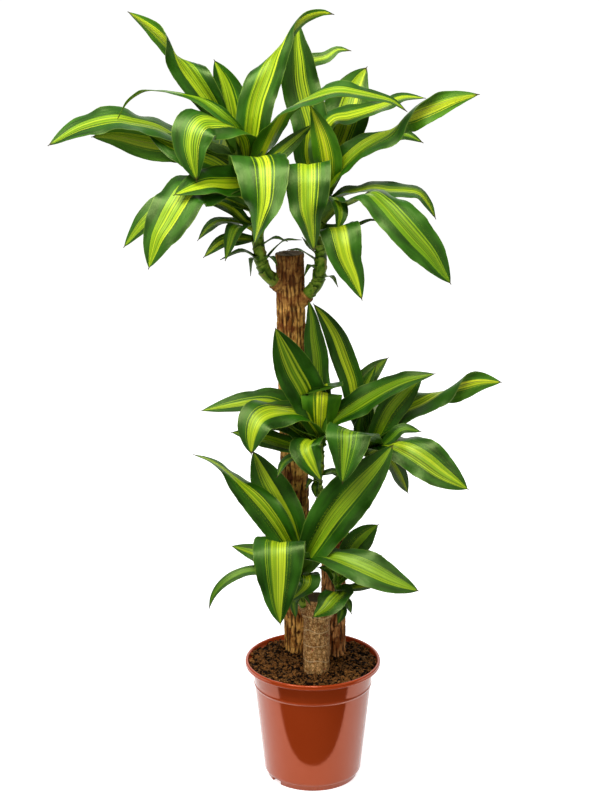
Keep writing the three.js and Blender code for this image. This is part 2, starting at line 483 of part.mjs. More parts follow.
function pot() {
  const crest = RIM_RADIUS - 1.5;
  const under = POT_HEIGHT - RIM_LIP;
  const outside = [
    [RIM_RADIUS - 4.5, POT_HEIGHT - 0.8], [crest, POT_HEIGHT], [RIM_RADIUS - 0.3, POT_HEIGHT - 0.8],
    [RIM_RADIUS, POT_HEIGHT - 2], [RIM_RADIUS - 0.9, POT_HEIGHT - 3.4], [RIM_RADIUS, POT_HEIGHT - 4.8],
    [RIM_RADIUS - 0.2, under + 0.6], [RIM_RADIUS - 1.2, under], [WALL_TOP_RADIUS + 0.4, under - 1],
    [WALL_TOP_RADIUS, under - 2], [RIDGE_RADIUS + 0.1, RIDGE_HEIGHT + 2.4],
    [RIDGE_RADIUS + 0.9, RIDGE_HEIGHT + 1.4], [RIDGE_RADIUS + 0.9, RIDGE_HEIGHT],
    [RIDGE_RADIUS, RIDGE_HEIGHT - 1], [WALL_FOOT_RADIUS, FOOT_HEIGHT + 1.5],
    [FOOT_RADIUS + 0.6, FOOT_HEIGHT], [FOOT_RADIUS, 0], [FOOT_RADIUS - 4, 0],
    [FOOT_RADIUS - 5.5, FLOOR_UNDERSIDE], [BOSS_RADIUS + 2, FLOOR_UNDERSIDE], [BOSS_RADIUS, 0], [0, 0],
  ];
  const shell = solid(turned([...potInside(0), ...outside].reverse(), POT_SIDES));
  const holes = [];
  for (let i = 0; i < DRAIN_HOLES; i++) {
    const angle = ((i + 0.5) / DRAIN_HOLES) * 2 * Math.PI;
    const drill = new THREE.CylinderGeometry(DRAIN_RADIUS, DRAIN_RADIUS, 12, 12).rotateX(Math.PI / 2);
    drill.translate(DRAIN_CIRCLE, 0, FLOOR_UNDERSIDE + FLOOR / 2).rotateZ(angle);
    holes.push(solid(drill));
  }
  for (const degrees of FOOT_NOTCHES) {
    const notch = new THREE.BoxGeometry(12, NOTCH_WIDTH, 2 * NOTCH_HEIGHT);
    notch.translate(FOOT_RADIUS, 0, 0).rotateZ(THREE.MathUtils.degToRad(degrees));
    holes.push(solid(notch));
  }
  return mainPiece(shell.subtract(wasm.Manifold.union(holes)));
}

/** Height of the soil's uneven surface. */
function soilTop(x, y) {
  const large = Math.sin(x / 7 + 1) * Math.cos(y / 8);
  const small = Math.sin((x + y) / 5) * Math.cos((x - 2 * y) / 9);
  const dished = -1.5 * (Math.hypot(x, y) / WALL_TOP_RADIUS) ** 2;
  return SOIL_LEVEL + 1.5 + 1.1 * large + 0.7 * small + dished;
}

function soil() {
  const sides = potInside(SOIL_GAP);
  const edge = sides.at(-1)[0];
  const rings = [0.86, 0.66, 0.44, 0.2].map((share) => [edge * share, SOIL_LEVEL]);
  const geometry = turned([...sides, ...rings, [0, SOIL_LEVEL]], POT_SIDES);
  const place = geometry.attributes.position;
  for (let i = 0; i < place.count; i++) {
    if (place.getZ(i) > SOIL_LEVEL - 0.5) place.setZ(i, soilTop(place.getX(i), place.getY(i)));
  }
  const holes = Object.values(CANES).map((spec) => {
    const line = caneLine(spec);
    const along = line.getTangent(0);
    const low = line.getPoint(0).addScaledVector(along, -SOIL_GAP);
    const high = low.clone().addScaledVector(along, ROOT_DEPTH + 20);
    return solid(rod(new THREE.LineCurve3(low, high), () => spec.radius + BARK_RELIEF + SOIL_GAP, 20, 1));
  });
  return mainPiece(solid(geometry).subtract(wasm.Manifold.union(holes)));
}

// ---------------------------------------------------------------- the plant

const colour = (hex, roughness) => new THREE.MeshStandardMaterial({ color: hex, roughness, metalness: 0 });
const terracottaPlastic = colour(0xb9573c, 0.35);
const peat = colour(0x3a2413, 1);
const bark = colour(0x8a5f33, 0.9);
const foliage = colour(0x5c8f2a, 0.45);

const plant = new THREE.Group();
plant.add(part("pot", pot(), terracottaPlastic));
plant.add(part("soil", soil(), peat));
for (const name of Object.keys(CANES)) plant.add(part(name, cane(name), bark));
for (const [name, spec] of Object.entries(SHOOTS)) {
  plant.add(part(name, shoot(spec, cane(spec.cane, SHOOT_GAP)), foliage));
}

export default plant;
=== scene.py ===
import math
import random

import bmesh
import bpy
from mathutils import Matrix, Vector, noise


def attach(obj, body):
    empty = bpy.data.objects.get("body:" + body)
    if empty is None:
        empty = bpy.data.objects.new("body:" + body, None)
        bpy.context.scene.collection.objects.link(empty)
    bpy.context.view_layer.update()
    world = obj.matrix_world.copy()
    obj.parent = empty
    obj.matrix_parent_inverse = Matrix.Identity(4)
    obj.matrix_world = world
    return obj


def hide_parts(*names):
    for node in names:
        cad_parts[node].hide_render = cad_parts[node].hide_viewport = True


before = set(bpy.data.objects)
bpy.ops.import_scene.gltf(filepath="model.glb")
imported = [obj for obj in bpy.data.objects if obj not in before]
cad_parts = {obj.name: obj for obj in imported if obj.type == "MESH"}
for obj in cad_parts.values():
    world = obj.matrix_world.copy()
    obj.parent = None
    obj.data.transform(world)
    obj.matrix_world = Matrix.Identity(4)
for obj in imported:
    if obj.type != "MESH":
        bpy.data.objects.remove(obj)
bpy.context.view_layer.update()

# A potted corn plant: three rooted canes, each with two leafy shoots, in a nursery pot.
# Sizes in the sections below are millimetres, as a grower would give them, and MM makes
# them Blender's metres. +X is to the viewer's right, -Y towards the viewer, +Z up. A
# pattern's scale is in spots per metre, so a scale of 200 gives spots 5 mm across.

MM = 0.001


# ------------------------------------------------------------------ camera, floor, light
# The plant stands on a plain white studio floor, lit by a broad soft box above and in front,
# a weak one low in front of the canes and a big one behind. The camera is 2.5 m away.

CAMERA_PLACE = (-0.018, -2.492, 1.281)
LOOKING_DOWN = 16.3  # degrees


def linear(hex_colour):
    """An sRGB hex colour as the linear colour that a shader wants."""
    parts = [int(hex_colour[i:i + 2], 16) / 255 for i in (1, 3, 5)]
    return (*[c / 12.92 if c <= 0.04045 else ((c + 0.055) / 1.055) ** 2.4 for c in parts], 1.0)


def add(tree, kind, inputs=None, **settings):
    """Adds a node, makes its settings, then links or fills its input sockets.

    A node given for a socket stands for its first output in use, and a hex text for a colour.
    """
    made = tree.nodes.new("ShaderNode" + kind)
    for name, value in settings.items():
        setattr(made, name, value)
    for socket, value in (inputs or {}).items():
        if isinstance(value, bpy.types.Node):
            value = next(output for output in value.outputs if output.enabled)
        if isinstance(value, bpy.types.NodeSocket):
            tree.links.new(value, made.inputs[socket])
        else:
            made.inputs[socket].default_value = linear(value) if isinstance(value, str) else value
    return made


def new_material(name):
    """An empty material and its node tree, with only the output in it."""
    made = bpy.data.materials.new(name)
    made.use_nodes = True
    tree = made.node_tree
    tree.nodes.clear()
    return made, tree, add(tree, "OutputMaterial")


def new_piece(name, bm, *materials):
    """A bmesh as a smooth-shaded object at the origin."""
    mesh = bpy.data.meshes.new(name)
    bm.to_mesh(mesh)
    bm.free()
    for material in materials:
        mesh.materials.append(material)
    mesh.shade_smooth()
    made = bpy.data.objects.new(name, mesh)
    bpy.context.scene.collection.objects.link(made)
    return made


scene = bpy.context.scene
scene.view_settings.view_transform = "Standard"
scene.view_settings.look = "None"

lens = bpy.data.cameras.new("camera")
lens.lens = 86.4
camera = bpy.data.objects.new("camera", lens)
camera.location = CAMERA_PLACE
camera.rotation_euler = (math.radians(90 - LOOKING_DOWN), 0, 0)
scene.collection.objects.link(camera)
scene.camera = camera

# White paint, which glows a little, as a lit sweep does beside a plant that is lit less.
white_floor, tree, out = new_material("white studio floor")
shader = add(tree, "BsdfPrincipled", {"Base Color": "#f4f4f4", "Roughness": 0.7,
                                      "Specular IOR Level": 0.2, "Emission Color": (1, 1, 1, 1),
                                      "Emission Strength": 0.78})
tree.links.new(shader.outputs[0], out.inputs[0])
bm = bmesh.new()
bmesh.ops.create_grid(bm, x_segments=1, y_segments=1, size=40)
floor = new_piece("floor", bm, white_floor)
floor.visible_diffuse = False

# The room is full white to the lens; as fill light and in reflections it is much weaker.
room = bpy.data.worlds.new("white room")
room.use_nodes = True
tree = room.node_tree
tree.nodes.clear()
seen = add(tree, "LightPath").outputs["Is Camera Ray"]
strength = add(tree, "MapRange", {"Value": seen, "To Min": 0.3, "To Max": 1.0})
backdrop = add(tree, "Background", {"Color": (1, 1, 1, 1), "Strength": strength})
add(tree, "OutputWorld", {"Surface": backdrop})
scene.world = room


def soft_box(name, place, target, size, watts):
    """A rectangular soft light at a place, turned to face its target."""
    light = bpy.data.lights.new(name, "AREA")
    light.shape = "RECTANGLE"
    light.size, light.size_y = size
    light.energy = watts
    made = bpy.data.objects.new(name, light)
    made.location = place
    made.rotation_euler = (Vector(target) - Vector(place)).to_track_quat("-Z", "Y").to_euler()
    scene.collection.objects.link(made)
    return made


soft_box("key soft box", (-0.35, -0.75, 1.95), (0, 0, 0.7), (1.3, 0.9), 41)
front = soft_box("front soft box", (-0.3, -1.9, 0.35), (0, 0, 0.2), (0.9, 0.6), 6.5)
front.visible_glossy = False
back = soft_box("back soft box", (0.2, 2.3, 1.7), (0, 0, 0.8), (3, 2), 24)
back.visible_camera = False

# A black cloth lies on the floor in front of the pot, as a photographer lays one to give
# glossy plastic and leaves a dark reflection. Only reflections see it.
black_cloth, tree, out = new_material("black cloth")
shader = add(tree, "BsdfPrincipled", {"Base Color": "#050505", "Roughness": 1.0,
                                      "Specular IOR Level": 0.0})
tree.links.new(shader.outputs[0], out.inputs[0])
bm = bmesh.new()
bmesh.ops.create_grid(bm, x_segments=1, y_segments=1, size=0.5)
bmesh.ops.scale(bm, vec=(5, 6, 1), verts=bm.verts)
bmesh.ops.translate(bm, vec=(0, -3.123, 0.002), verts=bm.verts)
cloth = new_piece("black_cloth", bm, black_cloth)
cloth.visible_camera = cloth.visible_diffuse = cloth.visible_shadow = False


# ------------------------------------------------------------------ nursery pot
# A thin injection-moulded polypropylene pot, 190 mm across. A thin ridge marks where the pots
# nest, and two beads stiffen the brim. Water leaves through the holes in the raised floor and
# the three notches in the foot.

DRAIN_HOLES = 6
DRAIN_RADIUS = 4.5
DRAIN_CIRCLE = 42  # radius of the ring that the drain holes lie on
FOOT_RADIUS = 64
FOOT_NOTCHES = (-143, -9, 104)  # degrees round from +X
NOTCH_WIDTH = 18
NOTCH_HEIGHT = 5.5


def bead(radius, height, size, start, end, steps=6):
    """Profile points round a small bead, from one angle to another in degrees."""
    turns = [math.radians(start + (end - start) * i / steps) for i in range(steps + 1)]
    return [(radius + size * math.cos(a), height + size * math.sin(a)) for a in turns]


# Radius and height: up the inside, over the brim and its two beads, down the outside with
# its ridge, round the foot, and over the boss in the middle of the underside.
pot_profile = [(0, 6), (60, 6), (63.6, 7), (66, 9), (67.4, 16), (80.2, 139), (80.6, 142),
               (83.2, 162), (84.6, 164.6), (88.5, 167.4), (90.2, 169.6)]
pot_profile += bead(92.7, 171.8, 2.2, 170, -35)
pot_profile += bead(93.2, 168.7, 1.8, 40, -80)
pot_profile += [(92, 166.5), (86.6, 165.6), (85.5, 165), (85, 163), (84.9, 162.2), (82.6, 143.6),
                (82.5, 142.8)]
pot_profile += bead(82.1, 140, 1.0, 60, -60, 4)
pot_profile += [(81.9, 137.5), (81.8, 136.6), (81.7, 135.6), (75.4, 76), (69.1, 16), (69, 15),
                (68.7, 11), (68.1, 9.6), (66.4, 8.6), (64.9, 8)]
pot_profile += [(64.4, 7), (64.1, 1.2), (63.4, 0.1), (62, 0), (60.2, 0.1), (59.4, 1), (58.6, 3),
                (26, 3), (24.4, 2.4), (23.2, 0.4), (22, 0), (0, 0)]


def spun(profile, steps):
    """A profile of (radius, height) in millimetres, spun round the pot's axis."""
    bm = bmesh.new()
    verts = [bm.verts.new((r * MM, 0, z * MM)) for r, z in profile]
    edges = [bm.edges.new(pair) for pair in zip(verts, verts[1:])]
    bmesh.ops.spin(bm, geom=verts + edges, cent=(0, 0, 0), axis=(0, 0, 1), angle=math.tau,
                   steps=steps, use_merge=True)
    bmesh.ops.remove_doubles(bm, verts=bm.verts, dist=1e-6)
    bmesh.ops.recalc_face_normals(bm, faces=bm.faces)
    return bm


# Terracotta-coloured polypropylene, moulded: a smooth gloss with the faintest orange peel
# and a little handling haze, so the reflections are clear, warm and just soft at the edges.
terracotta_plastic, tree, out = new_material("moulded terracotta polypropylene")
where = add(tree, "TexCoord").outputs["Object"]
haze = add(tree, "TexNoise", {"Vector": where, "Scale": 14.0, "Detail": 4.0})
tone = add(tree, "Mix", {0: haze, 6: "#a63c14", 7: "#b04218"}, data_type="RGBA")
rough = add(tree, "MapRange", {"Value": haze, "From Min": 0.3, "From Max": 0.7, "To Min": 0.09,
                               "To Max": 0.13})
peel = add(tree, "TexNoise", {"Vector": where, "Scale": 420.0, "Detail": 1.0})
bump = add(tree, "Bump", {"Height": peel, "Strength": 0.03, "Distance": 0.0004})
shader = add(tree, "BsdfPrincipled", {"Base Color": tone, "Roughness": rough, "IOR": 1.62,
                                      "Specular IOR Level": 1.0,
                                      "Specular Tint": (1.0, 0.34, 0.2, 1.0), "Normal": bump})
tree.links.new(shader.outputs[0], out.inputs[0])

pot = new_piece("nursery_pot", spun(pot_profile, 160), terracotta_plastic)

# The six drain holes and the three foot notches are cut with one cutter, then it goes.
bm = bmesh.new()
for i in range(DRAIN_HOLES):
    turn = Matrix.Rotation(math.tau * (i + 0.5) / DRAIN_HOLES, 4, "Z")
    place = turn @ Matrix.Translation((DRAIN_CIRCLE * MM, 0, 4.5 * MM))
    bmesh.ops.create_cone(bm, cap_ends=True, segments=32, radius1=DRAIN_RADIUS * MM,
                          radius2=DRAIN_RADIUS * MM, depth=14 * MM, matrix=place)
for degrees in FOOT_NOTCHES:
    turn = Matrix.Rotation(math.radians(degrees), 4, "Z")
    place = turn @ Matrix.Translation((FOOT_RADIUS * MM, 0, 0))
    block = Matrix.Diagonal((12 * MM, NOTCH_WIDTH * MM, 2 * NOTCH_HEIGHT * MM, 1))
    bmesh.ops.create_cube(bm, size=1, matrix=place @ block)
cutter = new_piece("cutter", bm)
cut = pot.modifiers.new("holes and notches", "BOOLEAN")
cut.object = cutter
cut.solver = "EXACT"
drilled = bpy.data.meshes.new_from_object(pot.evaluated_get(bpy.context.evaluated_depsgraph_get()))
pot.modifiers.clear()
pot.data = drilled
bpy.data.objects.remove(cutter)
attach(pot, "root")
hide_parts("pot")


# ------------------------------------------------------------------ potting soil
# Dark, crumbly peat and bark mix, filled to just under the brim, towards which it falls a
# little. Lumps of bark and short tan coir fibres lie on it.

SOIL_LEVEL = 169.5
SOIL_RADIUS = 87.4
SOIL_RINGS = 62
CRUMBS = 1250  # how many loose crumbs there are, and how many fibres
FIBRES = 240

# Where each cane stands in the soil, and its radius.
CANE_FEET = {"cane_tall": (-18, 45, 19.2), "cane_medium": (29, 24, 17.0),
             "cane_short": (5, -29, 17.7)}

soil_profile = [(r * SOIL_RADIUS / SOIL_RINGS, SOIL_LEVEL) for r in range(SOIL_RINGS + 1)]
soil_profile += [(87.9, 167), (82.9, 161.5), (79.9, 139), (65.9, 12), (62, 6.5), (0, 6.5)]


def soil_height(x, y):
    """How far the soil stands above its level at a place, all in millimetres."""
    heap = 1.6 * noise.noise(Vector((x / 31, y / 31, 2.0)))
    lumps = 2.8 * noise.noise(Vector((x / 9, y / 9, 5.0)))
    crumbs = 2.2 * abs(noise.noise(Vector((x / 3, y / 3, 9.0))))
    return heap + lumps + crumbs - 0.3 - 1.4 * (math.hypot(x, y) / 88) ** 4


soil_bm = spun(soil_profile, 176)
for vert in soil_bm.verts:
    if vert.co.z > (SOIL_LEVEL - 1) * MM:
        vert.co.z += soil_height(vert.co.x / MM, vert.co.y / MM) * MM

# Moist peat and composted bark: matte and brown on the crumbs, with lighter flecks of fibre.
# Painted shade turns it nearly black in the hollows between the crumbs, and damp patches darken
# it too. The crumbs are ragged and about 5 mm across.
peat, tree, out = new_material("peat and bark potting mix")
where = add(tree, "TexCoord").outputs["Object"]
warp = add(tree, "TexNoise", {"Vector": where, "Scale": 170.0, "Detail": 2.0})
moved = add(tree, "VectorMath", {0: warp.outputs["Color"], 1: (0.009, 0.009, 0.009), 2: where},
            operation="MULTIPLY_ADD")
crumb = add(tree, "TexVoronoi", {"Vector": moved, "Scale": 210.0})
grain = add(tree, "TexNoise", {"Vector": where, "Scale": 260.0, "Detail": 5.0, "Roughness": 0.7})
fleck = add(tree, "MapRange", {"Value": grain, "From Min": 0.56, "From Max": 0.7})
brown = add(tree, "Mix", {0: grain, 6: "#1a0d03", 7: "#b0743a"}, data_type="RGBA")
tan = add(tree, "Mix", {0: fleck, 6: brown, 7: "#d09450"}, data_type="RGBA")
damp = add(tree, "TexNoise", {"Vector": where, "Scale": 75.0, "Detail": 3.0})
# Painted shade: the gaps between crumbs go near black, and damp patches add to it.
hollow = add(tree, "Math", {0: crumb, 1: damp}, operation="ADD")
depth = add(tree, "MapRange", {"Value": hollow, "From Min": 0.84, "From Max": 1.14})
shaded = add(tree, "Mix", {0: depth, 6: tan, 7: "#140802"}, data_type="RGBA")
bump = add(tree, "Bump", {"Height": crumb, "Strength": 0.9, "Distance": 0.0025}, invert=True)
shader = add(tree, "BsdfPrincipled", {"Base Color": shaded, "Roughness": 0.95,
                                      "Specular IOR Level": 0.1, "Normal": bump})
tree.links.new(shader.outputs[0], out.inputs[0])
soil = new_piece("potting_soil", soil_bm, peat)
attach(soil, "root")
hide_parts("soil")

# Loose crumbs of bark and peat, each a small squashed ball of 20 faces.
chance = random.Random(11)


def on_soil(reach):
    """A random place on the soil, clear of the canes."""
    while True:
        r, turn = reach * math.sqrt(chance.random()), chance.uniform(0, math.tau)
        x, y = r * math.cos(turn), r * math.sin(turn)
        if all(math.hypot(x - cx, y - cy) > radius + 1 for cx, cy, radius in CANE_FEET.values()):
            return x, y


def strewn(x, y, lift):
    """A matrix that lays a thing on the soil at a place, turned at random."""
    z = SOIL_LEVEL + soil_height(x, y) + lift
    turn = Matrix.Rotation(chance.uniform(0, math.tau), 4, "Z")
    tip = Matrix.Rotation(chance.gauss(0, 0.35), 4, "X")
    return Matrix.Translation((x * MM, y * MM, z * MM)) @ turn @ tip


bm = bmesh.new()
for i in range(CRUMBS):
    x, y = on_soil(87)
    size = chance.triangular(0.9, 5.2, 1.4)
    long, flat = size * chance.uniform(0.8, 1.8), size * chance.uniform(0.5, 0.9)
    squash = Matrix.Diagonal((long, size, flat, 1))
    ball = bmesh.ops.create_icosphere(bm, subdivisions=1, radius=MM,
                                      matrix=strewn(x, y, 0.2 * size) @ squash)
    for vert in ball["verts"]:
        vert.co += Vector([chance.uniform(-0.38, 0.38) * size * MM for _ in range(3)])
crumbs = new_piece("bark_crumbs", bm, peat)
crumbs.data.shade_flat()
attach(crumbs, "root")

# Coir fibres and slivers of wood: dry, straw-coloured and matte, 4 to 15 mm long.
coir, tree, out = new_material("coir fibre")
where = add(tree, "TexCoord").outputs["Object"]
speck = add(tree, "TexNoise", {"Vector": where, "Scale": 90.0, "Detail": 2.0})
straw = add(tree, "Mix", {0: speck, 6: "#4a2c12", 7: "#b5854c"}, data_type="RGBA")
shader = add(tree, "BsdfPrincipled", {"Base Color": straw, "Roughness": 0.8,
                                      "Specular IOR Level": 0.2})
tree.links.new(shader.outputs[0], out.inputs[0])


def rolled(bm, around, along, place):
    """A grid rolled into a tube, open at both ends; place(turn, share) gives each point."""
    uv = bm.loops.layers.uv.get("wrap") or bm.loops.layers.uv.new("wrap")
    grid = bmesh.ops.create_grid(bm, x_segments=around, y_segments=along, size=0.5)
    for face in {f for v in grid["verts"] for f in v.link_faces}:
        for loop in face.loops:
            loop[uv].uv = (loop.vert.co.x + 0.5, loop.vert.co.y + 0.5)
    for vert in grid["verts"]:
        turn, share = math.tau * (vert.co.x + 0.5), vert.co.y + 0.5
        vert.co = place(turn, share)
    bmesh.ops.remove_doubles(bm, verts=grid["verts"], dist=1e-6)
    return [v for v in grid["verts"] if v.is_valid]


bm = bmesh.new()
for i in range(FIBRES):
    x, y = on_soil(84)
    length, thick, bend = chance.uniform(4, 15), chance.uniform(0.2, 0.6), chance.uniform(-1, 1)
    lie = strewn(x, y, 1.2 + thick)

    def on_fibre(turn, share):
        reach = thick * (1 - 0.5 * share)
        bow = 0.12 * bend * length * math.sin(math.pi * share)
        return lie @ Vector(((share - 0.5) * length * MM, (reach * math.cos(turn) + bow) * MM,
                             reach * math.sin(turn) * MM))

    rolled(bm, 5, 4, on_fibre)
bmesh.ops.holes_fill(bm, edges=[e for e in bm.edges if e.is_boundary], sides=0)
bmesh.ops.recalc_face_normals(bm, faces=bm.faces)
fibres = new_piece("coir_fibres", bm, coir)
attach(fibres, "root")


# ------------------------------------------------------------------ rooted canes
# Three lengths of trunk, sawn off square and rooted. The bark of the two older ones is
# split into upright plates with dark fissures; the short young one is smooth and crackled,
# with rings where old leaves dropped. The tall one leans a little to the left.

CANE_TOPS = {"cane_tall": (-32, 45, 745), "cane_medium": (29, 24, 401),
             "cane_short": (5, -29, 278)}
CORKINESS = {"cane_tall": 1.0, "cane_medium": 1.0, "cane_short": 0.12}  # 1: full fissures
ROOT_END = 64  # height of the canes' lower ends, deep in the soil
PLATE_WIDTH = 7
CRACK_SPACING = 17  # from one crack across a plate to the next
FISSURE_DEPTH = 1.9
SCAR_SPACING = 29  # from one leaf scar to the next up the young cane
SCAR_HEIGHT = 0.5
BARK_CELL = 1.8  # length of the mesh's cells up a cane


def smoothstep(value, low, high):
    """0 below low and 1 above high, with a smooth rise between them."""
    t = min(max((value - low) / (high - low), 0), 1)
    return t * t * (3 - 2 * t)


def fissures(turn, height, radius, seed):
    """Depth of the gaps between the bark's upright plates, and of the cracks across, 0 to 1."""
    x, y = radius * math.cos(turn), radius * math.sin(turn)
    sway = noise.noise(Vector((x / 12, y / 12, height / 34 + seed)))
    fine = noise.noise(Vector((x / 2.5, y / 2.5, height / 7 + seed)))
    open_here = noise.noise(Vector((x / 7, y / 7, height / 24 + 3 * seed)))
    plates = round(math.tau * radius / PLATE_WIDTH)
    across = plates * turn / math.tau + 0.9 * sway + 0.2 * fine
    plate = math.floor(across)
    gap = min(across - plate, plate + 1 - across)
    split = math.exp(-((gap / 0.17) ** 2)) * smoothstep(open_here, -0.4, 0.0)
    along = height / CRACK_SPACING + 0.618 * (plate % plates) + 0.12 * fine
    crack = 0.6 * math.exp(-((((along % 1) - 0.5) / 0.07) ** 2))
    crack *= smoothstep(-open_here, -0.3, 0.1)
    pitted = noise.noise(Vector((x / 3.4, y / 3.4, height / 13 + 5 * seed)))
    return min(1.0, split + crack + 0.55 * smoothstep(pitted, 0.12, 0.4))


# Old corky bark: dry and matte, its plates reddish tan with upright fibres, dark brown in the
# splits, with browner bands round the cane, and painted shade on a stretch below the sawn top.
def cork_bark(name, light, dark, gap, top_height):
    bark, tree, out = new_material(name)
    where = add(tree, "TexCoord").outputs["Object"]
    stretched = add(tree, "Mapping", {"Vector": where, "Scale": (1.0, 1.0, 0.16)})
    fibre = add(tree, "TexNoise", {"Vector": stretched, "Scale": 420.0, "Detail": 4.0,
                                   "Roughness": 0.65})
    patch = add(tree, "TexNoise", {"Vector": where, "Scale": 48.0, "Detail": 3.0})
    mixed = add(tree, "Math", {0: fibre, 1: patch}, operation="ADD")
    spread = add(tree, "MapRange", {"Value": mixed, "From Min": 0.87, "From Max": 1.15})
    plates = add(tree, "Mix", {0: spread, 6: dark, 7: light}, data_type="RGBA")
    depth = add(tree, "Attribute", attribute_name="fissure").outputs["Fac"]
    gaps = add(tree, "MapRange", {"Value": depth, "From Min": 0.12, "From Max": 0.8,
                                  "To Max": 0.9})
    split = add(tree, "Mix", {0: gaps, 6: plates, 7: gap}, data_type="RGBA")
    height = add(tree, "SeparateXYZ", {0: where}).outputs["Z"]
    uneven = add(tree, "Math", {0: patch, 1: 0.03, 2: height}, operation="MULTIPLY_ADD")
    band = add(tree, "TexNoise", {"W": uneven, "Scale": 55.0, "Detail": 1.0},
               noise_dimensions="1D")
    old = add(tree, "MapRange", {"Value": band, "From Min": 0.5, "From Max": 0.66, "To Max": 0.55})
    banded = add(tree, "Mix", {0: old, 6: split, 7: "#84441e"}, data_type="RGBA")
    # Painted shade: a stretch below the sawn top, under the shoots and leaves, is darkened.
    shade_below_top = add(tree, "MapRange", {"Value": uneven, "From Min": (top_height - 45) * MM,
                                      "From Max": (top_height - 20) * MM, "To Max": 0.6})
    dry_tip_and_shaded_top = add(tree, "Mix", {0: shade_below_top, 6: banded, 7: "#54290c"}, data_type="RGBA")
    bump = add(tree, "Bump", {"Height": fibre, "Strength": 0.5, "Distance": 0.0012})
    shader = add(tree, "BsdfPrincipled", {"Base Color": dry_tip_and_shaded_top, "Roughness": 0.85,
                                          "Specular IOR Level": 0.12, "Normal": bump})
    tree.links.new(shader.outputs[0], out.inputs[0])
    return bark


# Young bark: thin and yellowish, with a net of fine cracks a few millimetres apart, pale
# rings where leaves dropped, and a few small reddish specks.
def young_bark(name):
    bark, tree, out = new_material(name)
    where = add(tree, "TexCoord").outputs["Object"]
    drawn_up = add(tree, "Mapping", {"Vector": where, "Scale": (1.0, 1.0, 0.55)})
    net = add(tree, "TexVoronoi", {"Vector": drawn_up, "Scale": 270.0}, feature="DISTANCE_TO_EDGE")
    crackle = add(tree, "MapRange", {"Value": net, "From Min": 0.0, "From Max": 0.1})
    mottle = add(tree, "TexNoise", {"Vector": where, "Scale": 190.0, "Detail": 5.0,
                                    "Roughness": 0.75})
    tone = add(tree, "MapRange", {"Value": mottle, "From Min": 0.38, "From Max": 0.62})
    skin = add(tree, "Mix", {0: tone, 6: "#8a5220", 7: "#ffcb84"}, data_type="RGBA")
    crack = add(tree, "Mix", {0: crackle, 6: "#8a5c20", 7: skin}, data_type="RGBA")
    depth = add(tree, "Attribute", attribute_name="fissure").outputs["Fac"]
    split = add(tree, "Mix", {0: depth, 6: crack, 7: "#3f2911"}, data_type="RGBA")
    height = add(tree, "SeparateXYZ", {0: where}).outputs["Z"]
    waver = add(tree, "TexNoise", {"Vector": where, "Scale": 30.0, "Detail": 2.0})
    level = add(tree, "Math", {0: height, 1: 45.0, 2: waver}, operation="MULTIPLY_ADD")
    cycle = add(tree, "Math", {0: level}, operation="FRACT")
    scar = add(tree, "MapRange", {"Value": cycle, "From Min": 0.93, "From Max": 0.97,
                                  "To Max": 0.55})
    ringed = add(tree, "Mix", {0: scar, 6: split, 7: "#ffe0a8"}, data_type="RGBA")
    spots = add(tree, "TexVoronoi", {"Vector": where, "Scale": 95.0})
    spot = add(tree, "MapRange", {"Value": spots, "From Min": 0.12, "From Max": 0.08})
    red = add(tree, "Mix", {0: spot, 6: ringed, 7: "#a8413a"}, data_type="RGBA")
    bump = add(tree, "Bump", {"Height": crackle, "Strength": 0.6, "Distance": 0.0008})
    shader = add(tree, "BsdfPrincipled", {"Base Color": red, "Roughness": 0.8,
                                          "Specular IOR Level": 0.15, "Normal": bump})
    tree.links.new(shader.outputs[0], out.inputs[0])
    return bark


BARK = {
    "cane_tall": cork_bark("tall cane's corky bark", "#ffbf64", "#965a22", "#2a1002",
                           CANE_TOPS["cane_tall"][2]),
    "cane_medium": cork_bark("medium cane's corky bark", "#ffb870", "#8a4e20", "#220c02",
                             CANE_TOPS["cane_medium"][2]),
    "cane_short": young_bark("short cane's young bark"),
}

# The sawn end: grey-brown end grain, furry and matte, a little sunk in the middle.
end_grain, tree, out = new_material("sawn end grain")
where = add(tree, "TexCoord").outputs["Object"]
pores = add(tree, "TexNoise", {"Vector": where, "Scale": 520.0, "Detail": 3.0})
grey = add(tree, "Mix", {0: pores, 6: "#24170c", 7: "#8a6c48"}, data_type="RGBA")
bump = add(tree, "Bump", {"Height": pores, "Strength": 0.8, "Distance": 0.001})
shader = add(tree, "BsdfPrincipled", {"Base Color": grey, "Roughness": 0.95, "Normal": bump})
tree.links.new(shader.outputs[0], out.inputs[0])

